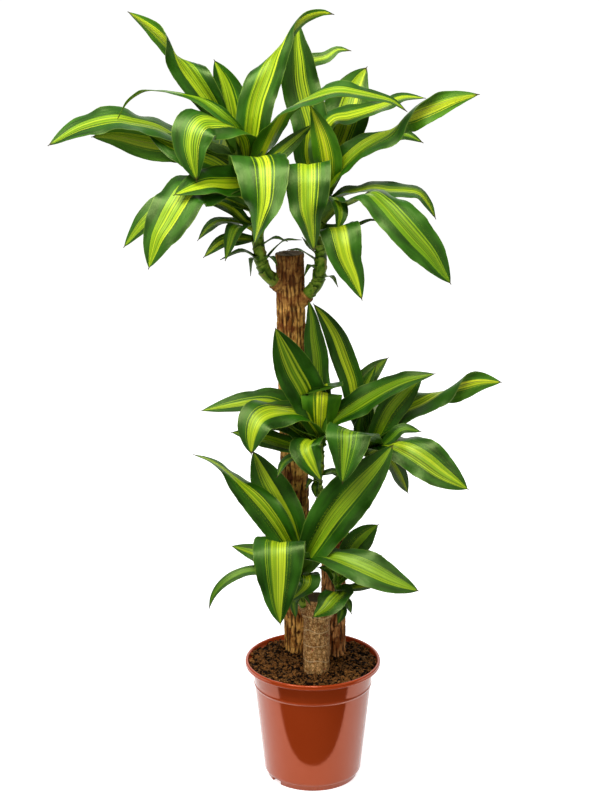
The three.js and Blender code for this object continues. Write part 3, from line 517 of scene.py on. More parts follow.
for number, (name, (x, y, radius)) in enumerate(CANE_FEET.items()):
    foot, top, corky = Vector((x, y, ROOT_END)), Vector(CANE_TOPS[name]), CORKINESS[name]
    length = (top - foot).length
    lean = (top - foot).normalized()
    side = Vector((1, 0, 0)).cross(lean).cross(lean).normalized() * -1
    front = lean.cross(side)
    bm = bmesh.new()
    depth_layer = bm.verts.layers.float.new("fissure")
    depths = {}

    def on_bark(turn, share):
        height, right, ahead = share * length, math.cos(turn), math.sin(turn)
        depth = fissures(turn, height, radius, 10 * number)
        swell = 0.5 * noise.noise(Vector((right, ahead, height / 40 + number)))
        rough = 0.25 * noise.noise(Vector((9 * right, 9 * ahead, height / 3)))
        reach = radius + swell + rough + 0.5 - FISSURE_DEPTH * corky * depth
        if name == "cane_short":
            off_scar = (height / SCAR_SPACING + 0.3 * swell) % 1 - 0.5
            reach += SCAR_HEIGHT * math.exp(-(off_scar / 0.04) ** 2)
        point = foot + lean * height + reach * (side * right + front * ahead)
        depths[tuple(round(c, 6) for c in point * MM)] = depth * max(corky, 0.5)
        return point * MM

    rolled(bm, 112, round(length / BARK_CELL), on_bark)
    for vert in bm.verts:
        vert[depth_layer] = depths.get(tuple(round(c, 6) for c in vert.co), 0)
    ends = bmesh.ops.holes_fill(bm, edges=[e for e in bm.edges if e.is_boundary], sides=0)
    for face in ends["faces"]:
        face.material_index = 1
    rim = bmesh.ops.inset_region(bm, faces=ends["faces"], thickness=1.2 * MM, depth=0.5 * MM)
    hollow = bmesh.ops.inset_region(bm, faces=ends["faces"], thickness=5 * MM, depth=-0.9 * MM)
    for face in rim["faces"] + hollow["faces"]:
        face.material_index = 1
    bmesh.ops.recalc_face_normals(bm, faces=bm.faces)
    trunk = new_piece(name.replace("cane", "trunk"), bm, BARK[name], end_grain)
    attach(trunk, "root")
    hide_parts(name)


# ------------------------------------------------------------------ leafy shoots
# Each shoot is a soft green stem that broke through the bark, and spirals of long leaves
# that clasp it and arch over under their own weight. The leaves are leathery, with a lime
# band down the middle, dark green margins that ripple, and a dry thread at the tip.

BLADE_THICKNESS = 0.7
ROW_SPACING = 5.5  # length of blade from one row of the mesh to the next
BASE_SHARE = 0.62  # width of a blade where it leaves the stem, as a share of its greatest width
FOLD_AT_BASE = 62  # degrees each half is folded up there
TWIST_REACH = 0.18  # a twist is spread over this share of the length, each way
TWIST_LEAD = 0.1  # the first edge turns over this share of the length before the midrib
LEFT_WAVE = 85  # length of a wave along each edge
RIGHT_WAVE = 70
WAVE_SHARE = 0.05  # height of the waves, as a share of the width
EDGE_LAG = 2.1  # the right edge's waves are this far behind the left edge's, in radians
PHASE_STEP = 1.7  # each leaf's waves start further on than those of the leaf before
FLUTTER_LENGTH = 33  # finer waves on top of these
FLUTTER_SHARE = 0.022
THREAD_ROWS = 2
THREAD_STEP = 1.2  # length of each row of the dry thread
THREAD_WIDTH = 0.9
MOST_LEAVES = 40  # a shoot has fewer, so that each leaf of the plant has its own number
SHEATH_SPACING = 15  # from one worn leaf sheath to the next up a stem
STEM_CELL = 1.6  # length of the mesh's cells up a stem
COLLAR_RADIUS = 11.2


def leaf(rib, wide, up, tip_up=None, turn=0.6, widest=0.5, fold=11):
    """One leaf's shape.

    rib is the midrib from the stem to the tip, wide the greatest width and up the way the
    upper side looks. A leaf that twists has tip_up for its outer part and turn for where the
    twist lies, and widest is where it is widest, both as shares of its length. fold is how
    far each half is folded up along the midrib, in degrees.
    """
    return {"rib": rib, "wide": wide, "up": up, "tip_up": tip_up or up, "turn": turn,
            "widest": widest, "fold": fold}


LEVEL = (0, -0.3, 1)  # up, for a leaf that lies level, and for one that faces the viewer
VIEWER = (0, -1, 0.2)

SHOOTS, LEAVES = {}, {}

SHOOTS["shoot_tall_left"] = {
    "cane": "cane_tall", "thick": (9.5, 7),
    "stem": [(-40, 43, 698), (-52, 38, 708), (-66, 32, 725), (-73, 24, 758), (-76, 16, 803),
             (-84, 12, 844), (-97, 10, 883), (-109, 8, 919)]}
LEAVES["shoot_tall_left"] = [
    leaf([(-105, 10, 910), (-138, -6, 962), (-158, -12, 992), (-174, -18, 1014), (-192, -20, 1036),
          (-212, -22, 1054), (-234, -24, 1070)], 46, (-0.2, -1, 0.4), tip_up=(0.2, 1, 0.45),
         turn=0.62, widest=0.4, fold=18),
    leaf([(-95, 10, 865), (-128, 22, 880), (-174, 24, 900), (-206, 20, 918), (-236, 14, 926),
          (-262, 8, 930), (-302, 2, 921), (-344, -4, 899)], 52, (0, -0.1, 1),
         tip_up=(0, -0.5, 0.9), turn=0.45, widest=0.7),
    leaf([(-90, 8, 875), (-100, -20, 920), (-116, -34, 940), (-142, -34, 960), (-165, -30, 967),
          (-191, -20, 970), (-216, -8, 970), (-230, 0, 963), (-243, 5, 952), (-254, 5, 934)], 24,
         (0, -0.6, 0.8), tip_up=(0, 0.2, 1), turn=0.5, widest=0.3),
    leaf([(-90, 15, 855), (-150, 35, 885), (-215, 35, 895), (-260, 30, 905), (-290, 25, 905)], 46,
         (0, 1, -0.2), widest=0.6),
    leaf([(-90, 15, 840), (-130, 16, 872), (-162, 16, 884), (-188, 16, 896), (-216, 16, 910)], 50,
         (0, -0.8, 0.6)),
    leaf([(-95, 10, 890), (-101, 6, 916), (-107, 5, 952), (-115, 5, 980), (-128, 5, 1006)], 46,
         (-0.3, -1, 0.1)),
    leaf([(-84, 10, 855), (-80, -6, 920), (-74, -8, 955), (-62, -6, 988), (-52, -2, 1012),
          (-42, 2, 1028), (-28, 8, 1046), (-10, 14, 1060), (10, 18, 1066), (24, 22, 1064)], 50,
         VIEWER, tip_up=(-0.7, 0.7, 0.3), turn=0.66, widest=0.3),
    leaf([(-90, 10, 862), (-96, -22, 908), (-114, -44, 932), (-138, -62, 940), (-151, -74, 931),
          (-156, -80, 911), (-154, -82, 890), (-149, -80, 866)], 60, (0.1, 0.2, 1),
         tip_up=(-0.2, -0.9, 0.4), turn=0.5, widest=0.6, fold=6),
    leaf([(-74, 8, 866), (-68, 2, 892), (-58, 2, 918)], 18, VIEWER),
    leaf([(-80, 5, 815), (-106, -20, 838), (-138, -50, 850), (-160, -72, 851), (-173, -86, 835),
          (-186, -94, 814), (-198, -100, 794), (-210, -104, 758)], 66, (-0.4, -0.5, 0.8),
         tip_up=(-0.3, -1, 0.4), turn=0.45, widest=0.6),
    leaf([(-80, 20, 805), (-152, 10, 832), (-194, 5, 820), (-224, 0, 796), (-250, 0, 764)], 40,
         (0, -0.6, 0.8), widest=0.6),
    leaf([(-80, 0, 825), (-90, -20, 850), (-116, -45, 856), (-136, -65, 860), (-158, -82, 856),
          (-176, -95, 850)], 52, (0, -0.8, 0.7)),
    leaf([(-75, 5, 830), (-78, -40, 874), (-72, -85, 896), (-66, -112, 892), (-64, -126, 874),
          (-64, -134, 848), (-69, -134, 822), (-75, -130, 795)], 72, LEVEL, fold=6),
    leaf([(-78, 12, 788), (-90, 2, 796), (-108, -4, 814), (-130, -6, 824), (-152, -6, 826)], 26,
         (0, -0.5, 0.9), widest=0.6),
    leaf([(-76, 12, 780), (-98, 4, 794), (-122, -2, 798), (-138, -4, 790), (-152, -4, 774)], 24,
         LEVEL, widest=0.65),
    leaf([(-75, 10, 775), (-100, -25, 795), (-115, -40, 755)], 30, (-0.2, -0.3, 1)),
    leaf([(-76, 17, 764), (-100, 4, 772), (-122, -4, 770), (-144, -8, 752)], 24, (0, -0.6, 0.8)),
    leaf([(-68, 24, 734), (-94, 10, 756), (-122, 4, 746)], 12, LEVEL),
    leaf([(-68, 26, 734), (-82, 12, 746), (-84, 10, 724)], 11, (-0.5, -0.3, 1)),
    leaf([(-68, 24, 738), (-56, 12, 748), (-48, 8, 736)], 11, (0.5, -0.3, 1)),
    leaf([(-68, 24, 732), (-42, 2, 770), (-18, -6, 774)], 9, LEVEL),
    leaf([(-72, 22, 758), (-52, 8, 774), (-36, 6, 770)], 10, LEVEL),
    leaf([(-75, 15, 850), (-62, -12, 892), (-46, -28, 928), (-34, -36, 948), (-16, -42, 960),
          (10, -52, 971), (32, -58, 976), (56, -60, 973), (76, -60, 969), (98, -60, 963),
          (116, -60, 951)], 46, (-0.5, 0.7, 0.3), tip_up=(0, -0.5, 1), turn=0.43, widest=0.45),
    leaf([(-74, 8, 844), (-60, -8, 874), (-30, -12, 902), (-2, -10, 926)], 24, (0, -0.8, 0.5)),
    leaf([(-85, 12, 850), (-95, 60, 890), (-110, 110, 895), (-120, 150, 860), (-120, 170, 800)],
         52, (0, 0, 1)),
    leaf([(-80, 14, 830), (-68, 60, 850), (-56, 110, 850), (-52, 150, 815)], 44, (0, 0, 1)),
    leaf([(-85, 14, 860), (-88, 50, 900), (-92, 90, 915), (-95, 130, 900), (-98, 160, 860)], 44,
         (0, 0, 1)),
]

SHOOTS["shoot_tall_right"] = {
    "cane": "cane_tall", "thick": (9.5, 7),
    "stem": [(-22, 43, 676), (-8, 40, 690), (6, 34, 709), (10, 26, 744), (9, 20, 768),
             (12, 14, 807), (19, 10, 843), (21, 10, 870)]}
LEAVES["shoot_tall_right"] = [
    leaf([(15, 15, 815), (-6, 24, 876), (-4, 34, 916), (-12, 40, 948), (-18, 44, 976),
          (-20, 46, 1002), (-22, 48, 1028), (-20, 50, 1051)], 52, VIEWER, widest=0.62),
    leaf([(20, 20, 835), (-14, 62, 932), (-16, 74, 970), (-12, 80, 990), (-2, 82, 998),
          (16, 84, 1002), (32, 85, 1012), (48, 85, 1011)], 22, (0, -0.8, 0.6), widest=0.75),
    leaf([(20, 15, 825), (24, 30, 880), (34, 45, 908), (42, 55, 930), (48, 62, 950), (58, 68, 972),
          (70, 70, 990)], 66, (-0.1, -1, 0.1), widest=0.6),
    leaf([(20, 10, 835), (12, 12, 884), (14, 16, 910), (26, 20, 928), (46, 22, 932), (68, 24, 938),
          (92, 25, 946), (116, 25, 956), (144, 25, 956)], 46, (-0.3, -0.35, 0.9), widest=0.55),
    leaf([(20, 5, 825), (18, -18, 872), (14, -28, 902), (6, -30, 928), (-4, -25, 952)], 40,
         (0.2, 1, 0.1), widest=0.45),
    leaf([(20, 10, 815), (28, -6, 848), (38, -18, 872), (58, -26, 894), (78, -30, 908),
          (98, -33, 920), (114, -34, 936), (132, -34, 946), (150, -32, 952), (174, -28, 960),
          (192, -24, 964), (210, -20, 966)], 50, (-0.3, -0.6, 0.8), tip_up=(0, 1, -0.3),
         turn=0.64),
    leaf([(20, 10, 830), (30, 14, 872), (50, 20, 890), (76, 24, 902), (100, 24, 907),
          (116, 22, 909), (128, 20, 906), (142, 20, 899)], 32, (0, -0.1, 1),
         tip_up=(0.2, -0.7, 0.7), turn=0.75, widest=0.6),
    leaf([(15, 10, 800), (34, -6, 830), (56, -16, 839), (78, -22, 845), (98, -26, 843),
          (118, -29, 843), (136, -30, 840), (148, -30, 826), (158, -30, 808)], 42, (0, -0.2, 1),
         tip_up=(0.3, -0.5, 0.8), turn=0.7),
    leaf([(10, 10, 785), (32, -20, 816), (54, -45, 832), (72, -64, 846), (90, -78, 836),
          (106, -86, 820), (126, -92, 798), (146, -95, 776), (160, -95, 756), (174, -95, 736)], 55,
         (-0.3, 0.4, 0.9), tip_up=(0.2, -1, 0.4), turn=0.5, widest=0.68),
    leaf([(10, 14, 766), (48, -8, 790), (74, -14, 802), (90, -14, 798)], 10, LEVEL),
    leaf([(15, 10, 810), (-6, -30, 858), (-8, -80, 886), (-8, -102, 874), (-8, -110, 856),
          (-8, -114, 834), (-4, -112, 806), (0, -110, 781)], 58, LEVEL, widest=0.58, fold=6),
    leaf([(10, 15, 770), (24, -35, 786), (31, -72, 804), (36, -90, 788), (41, -96, 768),
          (52, -98, 742), (61, -99, 716)], 54, (0.1, -0.8, 0.6), widest=0.5, fold=6),
    leaf([(15, 10, 810), (25, -30, 835), (35, -50, 820), (30, -55, 795)], 26, (0.3, -0.4, 0.9)),
    leaf([(10, 30, 722), (-4, 16, 736), (-12, 12, 722)], 11, (-0.5, -0.3, 1)),
    leaf([(8, 32, 712), (24, 16, 720), (32, 12, 708)], 11, (0.5, -0.3, 1)),
    leaf([(10, 28, 734), (-16, 12, 756), (-32, 8, 758)], 9, LEVEL),
    leaf([(8, 26, 744), (-4, 16, 758), (-14, 14, 772)], 9, LEVEL),
    leaf([(22, 14, 850), (30, 60, 892), (34, 105, 898), (36, 140, 880), (36, 155, 852)], 50,
         (0, 0, 1)),
    leaf([(18, 16, 830), (14, 60, 845), (8, 110, 835), (4, 150, 790), (2, 165, 745)], 46,
         (0, 0, 1)),
    leaf([(22, 14, 855), (24, 50, 890), (27, 90, 905), (30, 130, 890), (33, 160, 850)], 44,
         (0, 0, 1)),
]

SHOOTS["shoot_medium_left"] = {
    "cane": "cane_medium", "thick": (6.5, 5),
    "stem": [(26, 23, 385), (20, 17, 402), (10, 11, 414), (7, 8, 436), (10, 6, 460), (9, 6, 487),
             (6, 5, 515), (6, 6, 536)]}
LEAVES["shoot_medium_left"] = [
    leaf([(5, 5, 495), (-8, -8, 560), (-26, -22, 600), (-40, -38, 636), (-50, -50, 664)], 56,
         (0.1, -1, 0.2)),
    leaf([(5, 10, 505), (10, 14, 548), (6, 18, 580), (4, 20, 608), (0, 21, 636), (-2, 22, 660),
          (-6, 22, 684)], 34, (0.3, -1, 0.1)),
    leaf([(5, 5, 485), (10, -10, 530), (11, -18, 560), (12, -4, 573), (12, 24, 566),
          (12, 50, 544)], 58, (0, 0.9, 0.4), tip_up=(0, 0.3, 1), turn=0.6, widest=0.6),
    leaf([(5, 10, 490), (-12, 0, 512), (-34, 0, 536), (-55, -2, 549), (-78, -5, 552),
          (-110, -5, 547), (-150, -5, 539)], 50, (0, -0.5, 0.9), widest=0.36),
    leaf([(5, 5, 490), (-12, -10, 530), (-33, -20, 541), (-57, -36, 547), (-74, -50, 541),
          (-82, -60, 522), (-83, -62, 496)], 54, (-0.2, -0.3, 0.9), tip_up=(-0.3, -0.9, 0.3),
         turn=0.55, widest=0.66),
    leaf([(5, 10, 480), (-20, 5, 512), (-45, 0, 524), (-80, 0, 515)], 50, (0, -0.6, 0.8)),
    leaf([(10, 8, 475), (-30, 0, 486), (-70, 2, 498), (-110, 2, 506)], 35, (0, -0.5, 0.8)),
    leaf([(8, 5, 480), (-2, -25, 503), (-11, -45, 499), (-3, -55, 480), (10, -55, 456)], 44,
         (-0.2, -0.3, 1), widest=0.55),
    leaf([(10, 5, 485), (28, 2, 520), (56, -4, 542), (82, -12, 562), (102, -20, 576),
          (124, -28, 588), (160, -36, 599)], 46, (-0.3, -0.6, 0.8), widest=0.45),
    leaf([(10, 8, 458), (-18, -14, 476), (-38, -34, 476), (-48, -52, 462)], 18, LEVEL),
    leaf([(8, 8, 424), (-2, -2, 440), (-10, -6, 428)], 12, (-0.3, -0.3, 1)),
    leaf([(8, 8, 434), (2, -4, 430), (4, -8, 416)], 10, LEVEL),
    leaf([(10, 8, 440), (28, -4, 452), (40, -8, 440)], 16, LEVEL),
    leaf([(8, 8, 495), (18, 50, 512), (26, 95, 516), (32, 130, 500), (34, 150, 475)], 40,
         (0, 0, 1)),
]

SHOOTS["shoot_medium_right"] = {
    "cane": "cane_medium", "thick": (7.5, 5),
    "stem": [(36, 25, 384), (48, 24, 398), (61, 22, 419), (73, 18, 447), (79, 14, 471),
             (82, 12, 492)]}
LEAVES["shoot_medium_right"] = [
    leaf([(80, 18, 470), (64, 28, 520), (57, 30, 546), (52, 32, 572), (42, 34, 600), (30, 36, 632),
          (15, 36, 658), (1, 36, 676)], 34, (0, -1, 0.1), widest=0.62),
    leaf([(80, 10, 470), (58, -45, 518), (47, -72, 530), (45, -84, 516), (42, -90, 494),
          (38, -92, 466)], 66, LEVEL, fold=6),
    leaf([(80, 18, 475), (62, 35, 536), (68, 45, 560), (82, 52, 578), (102, 55, 596)], 34,
         (-0.3, -0.8, 0.5), widest=0.62),
    leaf([(80, 16, 480), (70, 32, 550), (85, 38, 590)], 24, (0, -0.9, 0.3)),
    leaf([(80, 10, 475), (90, -2, 508), (104, -5, 538), (122, -5, 561), (146, -2, 586)], 38,
         (0, -0.9, 0.4), widest=0.6),
    leaf([(80, 10, 470), (84, 12, 494), (100, 10, 516), (122, 8, 534), (146, 8, 546),
          (166, 8, 558), (184, 8, 566), (206, 10, 572), (228, 10, 576), (254, 12, 574)], 52,
         (0, -0.6, 0.9), tip_up=(0, 1, -0.3), turn=0.68, widest=0.55),
    leaf([(80, 8, 468), (102, -14, 500), (120, -20, 518), (144, -20, 514)], 17, (0, -0.7, 0.7),
         widest=0.7),
    leaf([(78, 10, 460), (98, -15, 492), (114, -28, 496), (132, -38, 492), (150, -45, 482),
          (170, -52, 468), (190, -58, 456), (206, -60, 446)], 56, (-0.3, 0.2, 0.9),
         tip_up=(0.1, -0.9, 0.5), turn=0.4, widest=0.62),
    leaf([(78, 15, 460), (97, 12, 470), (114, 8, 450), (130, 4, 419)], 36, (0.5, -0.5, 0.8),
         widest=0.6),
    leaf([(80, 12, 474), (62, 4, 508), (66, 2, 532)], 16, VIEWER),
    leaf([(80, 16, 470), (88, 60, 510), (94, 105, 515), (98, 145, 485), (100, 165, 450)], 44,
         (0, 0, 1)),
    leaf([(78, 18, 460), (70, 60, 480), (62, 105, 475), (58, 140, 440), (56, 155, 405)], 46,
         (0, 0, 1)),
]

SHOOTS["shoot_short_left"] = {
    "cane": "cane_short", "thick": (7.5, 5),
    "stem": [(-4, -30, 254), (-12, -33, 268), (-19, -36, 284), (-18, -38, 310), (-14, -36, 335),
             (-13, -34, 361)]}
LEAVES["shoot_short_left"] = [
    leaf([(-15, -35, 330), (-34, -39, 360), (-50, -41, 388), (-66, -43, 412), (-82, -44, 431),
          (-100, -44, 449), (-118, -42, 465), (-138, -38, 478), (-160, -35, 486)], 46,
         (-0.2, -0.8, 0.5), tip_up=(0, 0, 1), turn=0.6, widest=0.36),
    leaf([(-15, -35, 340), (-26, -29, 368), (-36, -27, 394), (-50, -24, 420), (-66, -21, 450),
          (-81, -20, 485)], 54, (0.1, -1, 0.2), widest=0.55),
    leaf([(-15, -40, 325), (0, -50, 360), (25, -55, 405), (55, -60, 445), (85, -60, 480),
          (105, -55, 505)], 66, (0.2, -0.85, 0.55), widest=0.52),
    leaf([(-15, -40, 315), (-30, -58, 345), (-41, -86, 372), (-45, -108, 388), (-46, -124, 384),
          (-46, -134, 366), (-46, -138, 342), (-46, -140, 312), (-44, -140, 285)], 70, LEVEL,
         fold=6),
    leaf([(-15, -35, 320), (-50, -40, 338), (-85, -35, 347), (-110, -35, 355)], 32,
         (0, -0.6, 0.8)),
    leaf([(-18, -38, 306), (-50, -40, 319), (-84, -42, 322), (-102, -45, 318), (-118, -48, 310),
          (-130, -50, 299), (-138, -52, 286), (-142, -52, 272)], 17, (0, -0.6, 0.8)),
    leaf([(-15, -40, 305), (-8, -65, 323), (-9, -80, 314), (-31, -85, 295)], 34, (0.1, -0.3, 1)),
    leaf([(-15, -40, 320), (8, -56, 346), (30, -68, 350), (54, -78, 346), (78, -86, 338),
          (102, -92, 328), (124, -95, 320), (140, -95, 314)], 52, (-0.3, 0.2, 0.9),
         tip_up=(0.1, -0.7, 0.7), turn=0.34, widest=0.6),
    leaf([(-18, -36, 276), (-26, -50, 278), (-24, -54, 258)], 13, (-0.3, -0.3, 1)),
    leaf([(-18, -38, 290), (-12, -54, 292), (-4, -58, 280)], 8, LEVEL),
    leaf([(-15, -34, 330), (4, -36, 380), (16, -36, 402), (36, -36, 428)], 30, (0.2, -1, 0.2)),
    leaf([(-15, -34, 340), (-40, -5, 380), (-62, 40, 395), (-70, 85, 385), (-72, 115, 350)], 34,
         (0, 0, 1)),
]

SHOOTS["shoot_short_right"] = {
    "cane": "cane_short", "thick": (7, 4.5),
    "stem": [(14, -30, 250), (24, -32, 262), (33, -36, 276), (34, -36, 297), (30, -34, 317)]}
LEAVES["shoot_short_right"] = [
    leaf([(34, -35, 276), (37, -60, 295), (27, -72, 291), (17, -82, 283), (0, -90, 274)], 44,
         (-0.2, -0.4, 0.9)),
    leaf([(30, -35, 300), (40, -32, 312), (46, -30, 330), (56, -28, 350), (72, -26, 368),
          (88, -25, 382)], 38, (0.1, -0.8, 0.7), widest=0.6),
    leaf([(34, -36, 288), (54, -50, 300), (82, -56, 304)], 22, LEVEL),
    leaf([(34, -36, 280), (46, -52, 280), (52, -56, 266)], 15, (0.3, -0.4, 0.9)),
    leaf([(34, -36, 294), (24, -26, 316), (8, -20, 318)], 14, (0, -0.8, 0.5)),
    leaf([(33, -36, 272), (40, -52, 268), (34, -56, 250)], 14, (0.2, -0.3, 1)),
    leaf([(32, -35, 296), (54, -10, 314), (74, 30, 316), (86, 65, 294), (90, 85, 265)], 40,
         (0, 0, 1)),
]


class Line:
    """A smooth curve through given points, with places given as a share of its length."""

    def __init__(self, points):
        knots = [Vector(p) for p in points]
        knots = [2 * knots[0] - knots[1], *knots, 2 * knots[-1] - knots[-2]]
        self.places = []
        for a, b, c, d in zip(knots, knots[1:], knots[2:], knots[3:]):
            for step in range(32):
                t = step / 32
                self.places.append(0.5 * (2 * b + (c - a) * t + (2 * a - 5 * b + 4 * c - d) * t * t
                                          + (3 * b - a - 3 * c + d) * t ** 3))
        self.places.append(knots[-2])
        self.runs = [0.0]
        for p, q in zip(self.places, self.places[1:]):
            self.runs.append(self.runs[-1] + (q - p).length)
        self.length = self.runs[-1]

    def at(self, share):
        run = min(max(share, 0.0), 1.0) * self.length
        i = max(1, next((k for k, r in enumerate(self.runs) if r >= run), len(self.runs) - 1))
        part = (run - self.runs[i - 1]) / max(self.runs[i] - self.runs[i - 1], 1e-9)
        return self.places[i - 1].lerp(self.places[i], part)

    def along(self, share):
        return (self.at(min(share + 0.02, 1)) - self.at(max(share - 0.02, 0))).normalized()

    def nearest(self, point):
        return min(self.places, key=lambda place: (place - Vector(point)).length)


def outline(share, widest, base):
    """Width of a blade at a share of its length, as a share of its greatest width."""
    if share < widest:
        return base + (1 - base) * math.sin(math.pi / 2 * share / widest) ** 1.3
    return max(0.0, math.cos(math.pi / 2 * (share - widest) / (1 - widest))) ** 0.78


def grow(bm, spec, number, stem_line):
    """Adds a leaf: a grid laid along its midrib, folded, rippled and drawn out to a thread."""
    line = Line([stem_line.nearest(spec["rib"][0]), *spec["rib"][1:]])
    wide, length = spec["wide"], line.length
    scale_leaf = wide < 20
    cells = 6 if scale_leaf else 12
    rows = max(8, round(length / ROW_SPACING))
    all_rows = rows + THREAD_ROWS
    luck = random.Random(number * 7 + round(length))
    phase = PHASE_STEP * (number % MOST_LEAVES)
    dry = luck.uniform(0.004, 0.022) * (1.6 if scale_leaf else 1)
    turn, up, tip_up = spec["turn"], Vector(spec["up"]), Vector(spec["tip_up"])
    up.normalize()
    tip_up.normalize()
    first = math.copysign(TWIST_LEAD, tip_up.dot(line.along(turn).cross(up)))
    frames = []
    for row in range(all_rows + 1):
        share = min(row / rows, 1)
        along = line.along(share)
        half = max(1.1, wide * outline(share, spec["widest"], BASE_SHARE)) / 2
        fold = math.radians(FOLD_AT_BASE * (1 - share) ** 4 + spec["fold"])
        point = line.at(share)
        if row > rows:
            beyond = (row - rows) * THREAD_STEP
            point = point + along * beyond + Vector((0, 0, -0.05 * beyond * beyond))
            half = THREAD_WIDTH / 2
        frames.append((point, along, half, fold, share))

    grid = bmesh.ops.create_grid(bm, x_segments=cells, y_segments=all_rows, size=0.5)
    uv = bm.loops.layers.uv["blade"]
    number_layer = bm.verts.layers.float["leaf_number"]
    dry_layer = bm.verts.layers.float["dry_from"]
    for face in {f for v in grid["verts"] for f in v.link_faces}:
        face.material_index = 2 if scale_leaf else 0
        for loop in face.loops:
            flat = loop.vert.co
            loop[uv].uv = (flat.x + 0.5, (flat.y + 0.5) * all_rows / rows)
    for vert in grid["verts"]:
        vert[number_layer], vert[dry_layer] = number, 1 - dry
        side, row = 2 * vert.co.x, round((vert.co.y + 0.5) * all_rows)
        point, along, half, fold, share = frames[row]
        # One half of the blade turns over before the other, so a twist never looks pinched.
        twist = smoothstep(share + first * side, turn - TWIST_REACH, turn + TWIST_REACH)
        across = along.cross(up.slerp(tip_up, twist)).normalized()
        normal = across.cross(along)
        swell, edge = half * 2 / wide, abs(side)
        calm = min(1.0, (1 - share) * 5) * swell
        run = share * length
        wave, lag = (LEFT_WAVE, phase) if side < 0 else (RIGHT_WAVE, phase + EDGE_LAG)
        ripple = WAVE_SHARE * math.sin(math.tau * run / wave + lag)
        flutter = FLUTTER_SHARE * math.sin(math.tau * run / FLUTTER_LENGTH + 2 * lag) * edge ** 2
        nick = 1 + 0.035 * noise.noise(Vector((run / 9, side, number))) * edge
        rise = math.sin(fold) * edge - 0.10 * edge ** 2 * swell
        groove = -0.45 * max(0.0, 1 - 5 * edge) * min(1.0, 3 * (1 - share))
        place = point + across * (side * half * nick * math.cos(fold))
        place += normal * (half * rise + (ripple + flutter) * wide * calm * edge ** 2 + groove)
        vert.co = place * MM


def streaks(tree, across, along, number, lines, runs, seed):
    """Noise drawn out along the blade: lines is how many across, runs how many along."""
    x = add(tree, "Math", {0: across, 1: lines}, operation="MULTIPLY")
    y = add(tree, "Math", {0: along, 1: runs}, operation="MULTIPLY")
    z = add(tree, "Math", {0: number, 1: 3.7, 2: seed}, operation="MULTIPLY_ADD")
    where = add(tree, "CombineXYZ", {0: x, 1: y, 2: z})
    return add(tree, "TexNoise", {"Vector": where, "Scale": 1.0, "Detail": 2.0}).outputs["Fac"]


